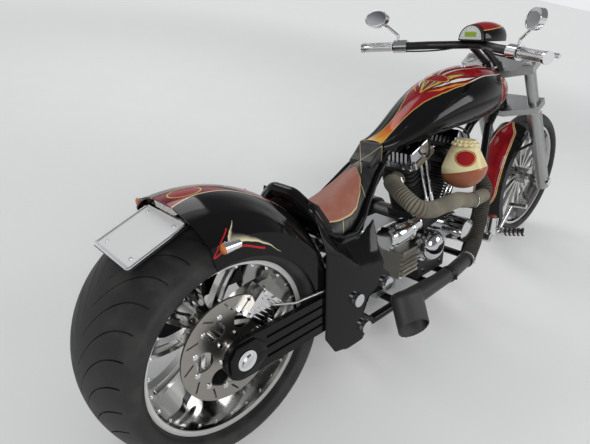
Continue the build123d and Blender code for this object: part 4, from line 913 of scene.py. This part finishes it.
# Starter: a round motor with a ribbed end cap, in front of its polished housing above the
# gearbox cover. Both are turned aluminium, and four screws hold the cap.
starter = lathe("starter_motor", (
    (0, 0), (0.029, 0), (0.029, 0.006), (0.026, 0.008), (0.026, 0.014), (0.029, 0.016), (0.029, 0.052),
    (0.026, 0.056), (0.026, 0.060), (0.028, 0.062), (0.022, 0.072), (0, 0.074)))
settle(starter, polished_alloy, "chrome", PARKED @ facing((0.804, -0.106, 0.418), (1, 0, 0.06)))
housing = lathe("starter_housing", (
    (0, 0), (0.036, 0), (0.0435, 0.006), (0.0440, 0.020), (0.0420, 0.023), (0.0420, 0.027),
    (0.0440, 0.030), (0.0440, 0.112), (0.0425, 0.116), (0.0425, 0.120), (0.0445, 0.123),
    (0.0445, 0.130), (0.040, 0.134), (0.030, 0.136), (0, 0.136)), 48)
settle(housing, covers, "chrome", PARKED @ facing((0.671, -0.106, 0.415), (1, 0, 0)))
screws("starter_screws", (0.0040, 0.004), [
    facing((0.807, -0.106 + 0.034 * cos(a), 0.415 + 0.034 * sin(a)), (1, 0, 0))
    for a in (0.7, 2.5, 4.2, 5.6)])

# Primary drive: a cast cover on the left under satin black, with a chrome clutch lid and a rim of
# screws. Four bolts hold the engine to its mounts below.
PRIMARY_SKIN = 0.266
dress(satin_black, "primary_cover")
lid = lathe("clutch_lid", (
    (0, 0), (0.078, 0), (0.080, 0.002), (0.080, 0.006), (0.074, 0.009), (0.060, 0.010), (0.056, 0.007),
    (0.020, 0.007), (0.016, 0.010), (0, 0.010)), 64)
settle(lid, chrome, "chrome", PARKED @ facing((0.760, PRIMARY_SKIN, 0.325), (0, 1, 0)))
screws("primary_screws", (0.0050, 0.005),
       on_rim((0.760, PRIMARY_SKIN, 0.325), 0.096, (1.4, 2.2, 3.0, 3.8, 4.7))
       + on_rim((1.050, PRIMARY_SKIN, 0.310), 0.076, (-1.5, -0.8, 0, 0.8, 1.5)))
screws("engine_mount_bolts", (0.008, 0.007),
       [facing((x, way * 0.0845, 0.165), (0, way, 0)) for x in (0.985, 1.115) for way in (-1, 1)])

# Air cleaner: a round bowl in copper brown under a cream cone, both enamelled, parted by a rising
# line. A bare oval panel sits on its shoulder, and two lobed caps close its top.
enamel = lacquer("cream and copper enamel", (0.72, 0.62, 0.36), 0.14)
x, y, z = enamel.where(PARKED)
above_parting = z - (0.602 + (y * -1.0 - 0.166) * 0.26)
cloudy = enamel.patches(16.0, 4.0, 0.4, 0.7)
round_it = (x - 1.002) * 0.53 + (y + 0.200) * -0.85
oval = round_it * round_it / 0.00118 + (z - 0.658) * (z - 0.658) / 0.00062
enamel.set("Base Color", enamel.paint(
    enamel.blend(enamel.edge(above_parting), enamel.blend(cloudy, (0.30, 0.105, 0.055), (0.38, 0.150, 0.085)),
                 enamel.blend(cloudy, (0.74, 0.66, 0.40), (0.66, 0.55, 0.29))),
    (enamel.line(above_parting, 0.0010), (0.20, 0.07, 0.03)),
    *((enamel.clear(limit - oval, 0, 0.03) * enamel.clear(-0.13 - y, 0, 0.001), tint)
      for limit, tint in ((1.20, (0.12, 0.03, 0.02)), (1.06, GOLD), (0.90, (0.30, 0.014, 0.018))))))
wavy = z - 0.690 - enamel.sum("SINE", round_it * 150.0) * 0.0022
enamel.bump(enamel.line(wavy, 0.0026) + enamel.clear(0.0022 - abs(z - 0.676), 0, 0.0015) * 0.6, 0.7, 0.003)
dress(enamel, "air_cleaner")
LOBES, CROWN_R, LOBE = 14, 0.046, 0.0035
lobed = [((CROWN_R + LOBE * cos(LOBES * a)) * 1.12 * cos(a), (CROWN_R + LOBE * cos(LOBES * a)) * sin(a))
         for a in evenly(112)]
for number, height, share in ((1, 0.694, 1.0), (2, 0.7045, 0.78)):
    cap = cut_out(f"cleaner_scroll_{number}", [(x * share, y * share) for x, y in lobed], 0.0105, 0.0035)
    settle(cap, enamel, "cream", PARKED @ shift(1.052, -0.168, height) @ rotated(4, "Y"), smooth=50)


# Exhaust headers: two steel pipes bound in woven heat tape, tan behind and darker in front, each
# turn of tape overlapping the one before, with painted shade in the groove between turns. Steel
# clamps hold the tape's ends, and the last run is bare blackened pipe.
def run_round(corners, bend=0.044, step=0.006):
    """Even places along straight runs joined by arcs of one radius."""
    corners = [Vector(corner) for corner in corners]
    trail = [corners[0]]
    for before, corner, after in zip(corners, corners[1:], corners[2:]):
        back, on = (before - corner).normalized(), (after - corner).normalized()
        half = back.angle(on) / 2
        reach = bend / max(0.05, sin(half) / cos(half))
        reach = min(reach, (before - corner).length * 0.49, (after - corner).length * 0.49)
        first, last = corner + back * reach, corner + on * reach
        trail += [first.lerp(corner, n / 6).lerp(corner.lerp(last, n / 6), n / 6) for n in range(7)]
    trail.append(corners[-1])
    even, left = [trail[0]], step
    for start, end in zip(trail, trail[1:]):
        length, gone = (end - start).length, 0.0
        while length - gone >= left:
            gone += left
            even.append(start.lerp(end, gone / length))
            left = step
        left -= length - gone
    return even + [trail[-1]]


# Below the shade radius, the tape gets painted shade in the groove between turns.
TAPE_STEP, TAPE_SHADE_RADIUS = 0.0095, 0.0275


def along(name, places, profile, steps=28):
    """A straight piece turned from its profile, as distance and radius, and bent along a run."""
    length = sum((b - a).length for a, b in zip(places, places[1:]))
    piece = begin(name)
    draw([(distance * length, 0, radius) for distance, radius in profile(length)])
    turn(steps, (1, 0, 0))
    # Mark the points that lie in the groove between tape turns, where the tape gets painted shade.
    sunk = piece.data.attributes.new("sunk", "FLOAT", "POINT")
    for vertex, mark in zip(piece.data.vertices, sunk.data):
        mark.value = float(vertex.co.yz.length < TAPE_SHADE_RADIUS)
    route = bpy.data.curves.new("route", "CURVE")
    route.dimensions, route.twist_mode = "3D", "MINIMUM"
    line = route.splines.new("POLY")
    line.points.add(len(places) - 1)
    for point, place in zip(line.points, places):
        point.co = (*place, 1.0)
    guide = bpy.data.objects.new("guide", route)
    bpy.context.collection.objects.link(guide)
    bend_to = piece.modifiers.new("bend", "CURVE")
    bend_to.object, bend_to.deform_axis = guide, "POS_X"
    bpy.context.view_layer.objects.active = piece
    ops.object.modifier_apply(modifier=bend_to.name)
    bpy.data.objects.remove(guide)
    return piece


def taped(length):
    """The profile of a pipe under overlapping turns of tape, rounded in at both ends."""
    count = int(length / TAPE_STEP)
    steps = [(0.0, 0.0), (0.0, 0.0262)]
    for number in range(count):
        steps += [((number + 0.04) / count, 0.0264), ((number + 0.45) / count, 0.0288),
                  ((number + 0.85) / count, 0.0296), ((number + 0.97) / count, 0.0290)]
    return steps + [(1.0, 0.0268), (1.0, 0.0)]


def tape(name, dark, pale):
    """Woven glass tape: a fine square weave, stained by heat in patches, with painted shade in the grooves
    between turns.
    """
    cloth = Finish(name, dark, 0.9, Specular_IOR_Level=0.15)
    weave = cloth.cells(700.0)
    stained = cloth.blend(cloth.patches(11.0, 5.0, 0.35, 0.7), dark, pale)
    woven = cloth.blend(weave, stained, tuple(c * 0.6 for c in pale))
    # Painted shade: the tape turns dark where it sinks into the groove between turns.
    shade_mask = cloth.add("ShaderNodeAttribute", {"attribute_name": "sunk"}, None, 2)
    shaded = tuple(c * 0.12 for c in pale)
    cloth.set("Base Color", cloth.blend(cloth.clear(shade_mask, 0.1, 1.0), woven, shaded))
    cloth.bump(weave, 0.8, 0.001)
    return cloth


def band(name, width, radius):
    """A steel band clamp about Z with rolled edges and its worm screw."""
    inner, lip, hem = radius - 0.002, radius + 0.0012, radius + 0.0015
    piece = lathe(name, ((inner, 0), (lip, 0), (hem, 0.0015), (radius, 0.0020), (radius, width - 0.002),
                         (hem, width - 0.0015), (lip, width), (inner, width), (inner, 0)))
    worm = lathe("worm", ((0, 0), (0.0045, 0), (0.0045, 0.004), (0.0036, 0.005), (0.0036, 0.018),
                          (0, 0.018)), 12)
    worm.data.transform(shift(radius + 0.003, -0.009, width / 2) @ rotated(-90, "X"))
    hold(piece, worm)
    ops.object.join()
    return piece


PORT = 0.325
TAN, DARK = ((0.15, 0.135, 0.105), (0.34, 0.31, 0.24)), ((0.050, 0.046, 0.040), (0.13, 0.12, 0.10))
REAR_RUN = run_round([on_bank(REAR_BANK, PORT, -0.0723, -0.022), on_bank(REAR_BANK, PORT, -0.105, -0.022),
                      (0.770, -0.050, 0.588), (0.722, -0.130, 0.572), (0.716, -0.198, 0.540),
                      (0.800, -0.206, 0.518), (0.976, -0.202, 0.508), (1.110, -0.194, 0.470),
                      (1.275, -0.162, 0.443)])
FRONT_RUN = run_round([on_bank(FRONT_BANK, PORT, 0.0723, -0.022), on_bank(FRONT_BANK, PORT, 0.105, -0.022),
                       (1.318, -0.090, 0.540), (1.306, -0.154, 0.470), (1.262, -0.172, 0.370),
                       (1.200, -0.188, 0.262), (1.110, -0.214, 0.240), (1.050, -0.229, 0.2385)])
LAST_RUN = run_round([(1.075, -0.223, 0.239), (1.020, -0.238, 0.238), (0.9305, -0.238, 0.238)])
burnt = satin("blackened pipe", (0.045, 0.044, 0.046), 0.42, 0.5)
# columns: name, run, profile, finish, slot, smooth angle
for name, run, profile, finish, slot, smooth in (
    ("rear_header_taped", REAR_RUN, taped, tape("tan heat tape", *TAN), "wrap", 30),
    ("front_header_taped", FRONT_RUN, taped, tape("dark heat tape", *DARK), "wrap", 30),
    ("header_end", LAST_RUN, lambda length: ((0.0, 0.0), (0.0, 0.0275), (1.0, 0.0275), (1.0, 0.0)),
     burnt, "satin_black", 35),
):
    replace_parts(settle(along(name, run, profile), finish, slot, smooth=smooth), "exhaust_headers")
for name, run, share in (("rear_tape_clamp", REAR_RUN, 0.80), ("rear_tape_start", REAR_RUN, 0.06),
                         ("front_tape_clamp", FRONT_RUN, 0.985), ("front_tape_start", FRONT_RUN, 0.10)):
    spot = int(share * (len(run) - 2))
    settle(band(name, 0.010, 0.0302), chrome, "chrome",
           PARKED @ facing(run[spot], run[spot + 1] - run[spot]) @ shift(0, 0, -0.005))

# Muffler: a short black canister of oval section, welded across the end of the pipe and turned
# down and out. Its oval mouth is cut at a slant, with painted shade inside it.
MUFFLER_MOUTH, MUFFLER_TOP = Vector((0.622, -0.286, 0.160)), Vector((0.642, -0.226, 0.274))
MOUTH_WAY, BELOW_MOUTH, MOUTH_DEEP = Vector((-0.25, -0.90, -0.35)).normalized(), 0.06, 0.055
stack = (MUFFLER_TOP - MUFFLER_MOUTH).normalized()
forwards = (Vector((1, 0, 0)) - stack * stack.x).normalized()
upended = Matrix((forwards, stack.cross(forwards), stack)).transposed().to_4x4()
upended.translation = MUFFLER_MOUTH - stack * BELOW_MOUTH
canister = cut_out("muffler_body", ellipse(0.072, 0.038, 64),
                   (MUFFLER_TOP - MUFFLER_MOUTH).length + BELOW_MOUTH, 0.018)
hold(canister)
ops.object.mode_set(mode="EDIT")
ops.mesh.select_all(action="SELECT")
way_there = upended.to_3x3().inverted() @ MOUTH_WAY
ops.mesh.bisect(plane_co=(0, 0, BELOW_MOUTH), plane_no=way_there, use_fill=True, clear_outer=True)
pick(lambda middle, normal: normal.dot(way_there) > 0.99)
ops.mesh.inset(thickness=0.0055, depth=0)
ops.mesh.extrude_region_move(TRANSFORM_OT_translate={"value": (0, 0, MOUTH_DEEP)})
ops.object.mode_set(mode="OBJECT")
canister.data.transform(upended)
INLET_RUN = run_round([(0.9305, -0.238, 0.238), (0.800, -0.238, 0.238), (0.652, -0.236, 0.240)], 0.1)
inlet = along("inlet", INLET_RUN,
              lambda length: ((0.0, 0.0), (0.0, 0.028), (0.4, 0.029), (1.0, 0.035), (1.0, 0.0)), 48)
hold(canister, inlet)
ops.object.join()
rub(canister, 0.0028, 5)
# The second colour is painted shade for the inside of the mouth.
SOOT, MOUTH_SHADE = (0.024, 0.024, 0.025), (0.002, 0.002, 0.002)
soot = satin("black heat paint", (0.022, 0.022, 0.023), 0.50)
x, y, z = soot.where(PARKED @ upended)
# Painted shade: the inside of the mouth is coloured near black.
shade_in_mouth = soot.clear(1 - (x * x / 0.0668**2 + y * y / 0.0328**2), -0.04, 0.04) * soot.clear(
    BELOW_MOUTH + 0.062 - z, 0, 0.004)
soot.set("Base Color", soot.blend(shade_in_mouth, SOOT, MOUTH_SHADE))
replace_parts(settle(canister, soot, "satin_black", smooth=60), "muffler")
settle(band("muffler_clamp", 0.016, 0.0300), satin_black, "satin_black",
       PARKED @ facing((0.915, -0.238, 0.238), (-1, 0, 0)))

# Fork: satin alloy sliders and tubes, held in clamps of the same alloy, with bright collars where
# they meet. Hexagon plugs close the tubes, and pinch bolts hold the clamps.
ON_FORK = (STEERED, "steering_body")
HEAD_AHEAD, FORK_AHEAD = Vector((0.809017, 0, 0.587785)), 0.050
dress(satin("satin fork alloy", (0.40, 0.40, 0.40), 0.34, 1.0), "fork_tubes", "fork_legs", "triple_clamps")


def on_fork(up, ahead, y):
    """A place measured up the steering axis from the fork's foot, ahead of it and to the left."""
    return HEAD_FOOT + HEAD_UP * up + HEAD_AHEAD * ahead + Vector((0, y, 0))


def both_up(up, ahead, y):
    """Places on both sides of the steering axis, facing up along it."""
    return [facing(on_fork(up, ahead, way * y), HEAD_UP) for way in (-1, 1)]


collar = lathe("collar", ((0.0245, -0.004), (0.033, -0.004), (0.0345, -0.002), (0.0345, 0.006),
                          (0.033, 0.009), (0.028, 0.013), (0.0245, 0.014), (0.0245, -0.004)), 48)
settle(spread(collar, both_up(0.507, FORK_AHEAD, 0.132), "fork_collars"), chrome, "chrome", *ON_FORK)
screws("fork_caps", (0.016, 0.008), both_up(0.776, FORK_AHEAD, 0.132), *ON_FORK)
screws("clamp_bolts", (0.006, 0.006), [
    facing(on_fork(level, 0.020, way * 0.1585), Vector((0, way, 0)) - HEAD_AHEAD * 0.5)
    for level in (0.526, 0.756) for way in (-1, 1)], *ON_FORK)

# Front fender: a narrow pressed shell on stays between the legs, gloss black, with a long candy
# red panel edged in gold and a thin pale line inside the edge.
narrow = lacquer("front fender lacquer")
x, y, z = narrow.where(STEERED)
panel = narrow.course(z, ((0.236, 0.0), (0.246, 0.030), (0.270, 0.046), (0.310, 0.058), (0.400, 0.060),
                          (0.500, 0.057), (0.570, 0.052), (0.620, 0.040), (0.660, 0.006)))
aside = abs(y)
paint = narrow.blend(narrow.patches(12.0, 4.0, 0.4, 0.7), (0.20, 0.006, 0.010), (0.30, 0.012, 0.016))
narrow.set("Base Color", narrow.paint(
    narrow.blend(narrow.edge(panel - aside) * (z > 0.236), BLACK, paint),
    (narrow.line(aside - panel, 0.0020) * (z > 0.236), GOLD),
    (narrow.line(aside - panel + 0.0055, 0.0009) * (z > 0.236), (0.70, 0.66, 0.60))))
dress(narrow, "front_fender")

# Handlebar and controls: a swept tube on its riser under satin black, chrome grips turned with
# rings, and chrome housings with levers. Two nuts hold the riser on the upper clamp.
dress(satin_black, "handlebar")
grips = plated("ringed chrome", (0.76, 0.76, 0.77), 0.07)
x, y, z = grips.where(STEERED)
down_bar = x * -0.478 + abs(y) * 0.876 - z * 0.058
on_grip = (down_bar > -0.384) * (down_bar < -0.262)
grips.bump(grips.ridges(down_bar, 2.4) * on_grip, 0.8, 0.0025)
dress(grips, "hand_controls")
screws("riser_nuts", (0.010, 0.010), both_up(0.797, -0.026, 0.026), *ON_FORK)

# Mirrors: oval chrome shells on bent stems, with silvered glass set in a raised rim. The right
# one is turned in towards the rider.
dress(chrome, "mirrors")
glass = plated("mirror glass", (0.44, 0.45, 0.46), 0.02)
OVAL = ellipse(0.058, 0.034, 48)
for name, way, out, across in (("right", -1, Vector((-0.72, 0.69, 0.1)), Vector((0.69, 0.72, 0))),
                               ("left", 1, Vector((-0.94, 0, 0.34)), Vector((0, 1, 0)))):
    out, across = out.normalized(), across.normalized()
    set_in = Matrix((across, out.cross(across), out)).transposed().to_4x4()
    set_in.translation = Vector((1.136, way * 0.330, 1.124)) + out * 0.009
    settle(cut_out(f"{name}_mirror_rim", OVAL, 0.0025, 0.00075, 0.004), chrome, "chrome",
           STEERED @ set_in @ shift(0, 0, -0.0005), "steering_body")
    settle(cut_out(f"{name}_mirror_glass", [(x * 0.935, y * 0.89) for x, y in OVAL], 0.0008, 0.0002),
           glass, "chrome", STEERED @ set_in, "steering_body")

# Headlamp nacelle and gauge: a black shell with a red flash, a fluted lens in front, and behind
# it a half-round dial with a pale face, a green display and plain tick marks.
shell = lacquer("nacelle lacquer")
x, y, z = shell.where(STEERED)
above_flash = z - 1.086 - (x - 1.345) * 0.10
shell.set("Base Color", shell.paint(shell.blend(shell.edge(above_flash), BLACK, CANDY),
                                    (shell.line(above_flash, 0.0014), GOLD)))
dress(shell, "headlamp")
bezel = satin("dial bezel", (0.014, 0.014, 0.015), 0.25)
dress(bezel, "gauge")


def half_round(width, foot, top):
    """Outline of a half oval above a straight foot."""
    return [(width * cos(radians(a)), foot + top * sin(radians(a))) for a in range(0, 181, 6)]


TO_RIDER = STEERED @ shift(1.3268, 0, 1.0473) @ Matrix(((0, 0, -1), (-1, 0, 0), (0, 1, 0))).to_4x4()
settle(cut_out("dial_face", half_round(0.048, 0.005, 0.050), 0.0012, 0.0004),
       satin("pale dial", (0.66, 0.68, 0.66), 0.35), "gauge_black", TO_RIDER, "steering_body")
display = Finish("green display", (0.20, 0.30, 0.02), 0.25, Emission_Strength=0.25)
x, y, z = display.where(STEERED)
bars = display.line(display.sum("PINGPONG", y * 1000.0, 3.0) - 1.5, 0.5) * display.line(z - 1.0715, 0.0055)
display.set("Base Color", display.blend(bars * 0.6, (0.22, 0.32, 0.03), (0.05, 0.09, 0.01)))
display.set("Emission Color", display.blend(bars * 0.6, (0.25, 0.38, 0.03), (0.02, 0.04, 0.0)))
settle(cut_out("dial_display", rounded(0.050, 0.019, 0.002), 0.0012, 0.0003), display, "gauge_black",
       TO_RIDER @ shift(0, 0.0242, 0.0012), "steering_body")
tick = cut_out("tick", [(-0.0005, -0.0025), (0.0005, -0.0025), (0.0005, 0.0025), (-0.0005, 0.0025)],
               0.0004, 0.0001)
ticks = spread(tick, [
    shift(0.0435 * cos(radians(a)), 0.005 + 0.0455 * sin(radians(a)), 0.0011) @ rotated(a - 90, "Z")
    for a in range(15, 166, 15)], "dial_ticks")
settle(ticks, bezel, "gauge_black", TO_RIDER, "steering_body")
fluted = Finish("fluted lens", (0.66, 0.68, 0.70), 0.08, Coat_Weight=0.8, Coat_Roughness=0.02)
fluted.bump(fluted.ridges(fluted.where(STEERED)[1], 4.0), 0.6, 0.002)
TO_ROAD = STEERED @ shift(1.510, 0, 1.0453) @ Matrix(((0, 0, 1), (1, 0, 0), (0, 1, 0))).to_4x4()
settle(cut_out("headlamp_lens", half_round(0.053, 0.004, 0.056), 0.004, 0.002), fluted, "lamp",
       TO_ROAD, "steering_body")
settle(cut_out("headlamp_rim", half_round(0.053 * 1.06, 0.002, 0.056 * 1.06), 0.006, 0.0015, 0.005), chrome,
       "chrome", TO_ROAD, "steering_body")


# Wires and leads: wires from the switches into the nacelle, and black spark leads from both heads
# to the coil under the tank, all short and held at both ends.
def wire(name, places, radius, place=PARKED, body="chassis"):
    """A smooth curve through its places with a round section, made a mesh."""
    ops.object.select_all(action="DESELECT")
    course = bpy.data.curves.new(name, "CURVE")
    course.dimensions, course.bevel_depth, course.bevel_resolution, course.resolution_u = "3D", radius, 3, 8
    course.use_fill_caps = True
    line = course.splines.new("NURBS")
    line.points.add(len(places) - 1)
    for point, here in zip(line.points, places):
        point.co = (*here, 1.0)
    line.order_u, line.use_endpoint_u = 4, True
    piece = bpy.data.objects.new(name, course)
    bpy.context.collection.objects.link(piece)
    hold(piece)
    ops.object.convert(target="MESH")
    settle(bpy.context.object, black_rubber, "gauge_black", place, body, 60)


black_rubber = satin("black hose rubber", (0.012, 0.012, 0.012), 0.5)
for side, way in (("right", -1), ("left", 1)):
    wire(f"{side}_switch_wire", [
        (1.196, way * 0.268, 1.000), (1.235, way * 0.200, 1.000), (1.290, way * 0.110, 1.005),
        (1.350, way * 0.050, 1.020), (1.385, way * 0.030, 1.046)], 0.0032, *ON_FORK)
wire("rear_spark_lead", [(0.926, -0.082, 0.655), (0.905, -0.115, 0.668), (0.900, -0.110, 0.720),
                         (0.960, -0.060, 0.748), (1.020, -0.030, 0.740)], 0.0038)
wire("front_spark_lead", [(1.190, -0.076, 0.650), (1.225, -0.100, 0.668), (1.220, -0.100, 0.715),
                          (1.150, -0.060, 0.745), (1.070, -0.030, 0.742)], 0.0038)
settle(cut_out("ignition_coil", rounded(0.090, 0.056, 0.012), 0.040, 0.004), cast_black, "dark_alloy",
       PARKED @ shift(1.045, 0, 0.712))

# Pegs: moulded black rubber rings, pushed over both round foot pegs one beside another.
# They stop short of the pegs' brackets.
ring = lathe("peg_ring", ((0.0151, 0), (0.0178, 0.001), (0.0178, 0.007), (0.0151, 0.008), (0.0151, 0)), 28)
on_pegs = []
for way in (-1, 1):
    inner, outer = Vector((1.360, way * 0.205, 0.262)), Vector((1.372, way * 0.322, 0.292))
    on_pegs += [facing(inner.lerp(outer, share), outer - inner) for share in (0.34, 0.48, 0.62, 0.76, 0.90)]
settle(spread(ring, on_pegs, "peg_rings"), black_rubber, "gauge_black")
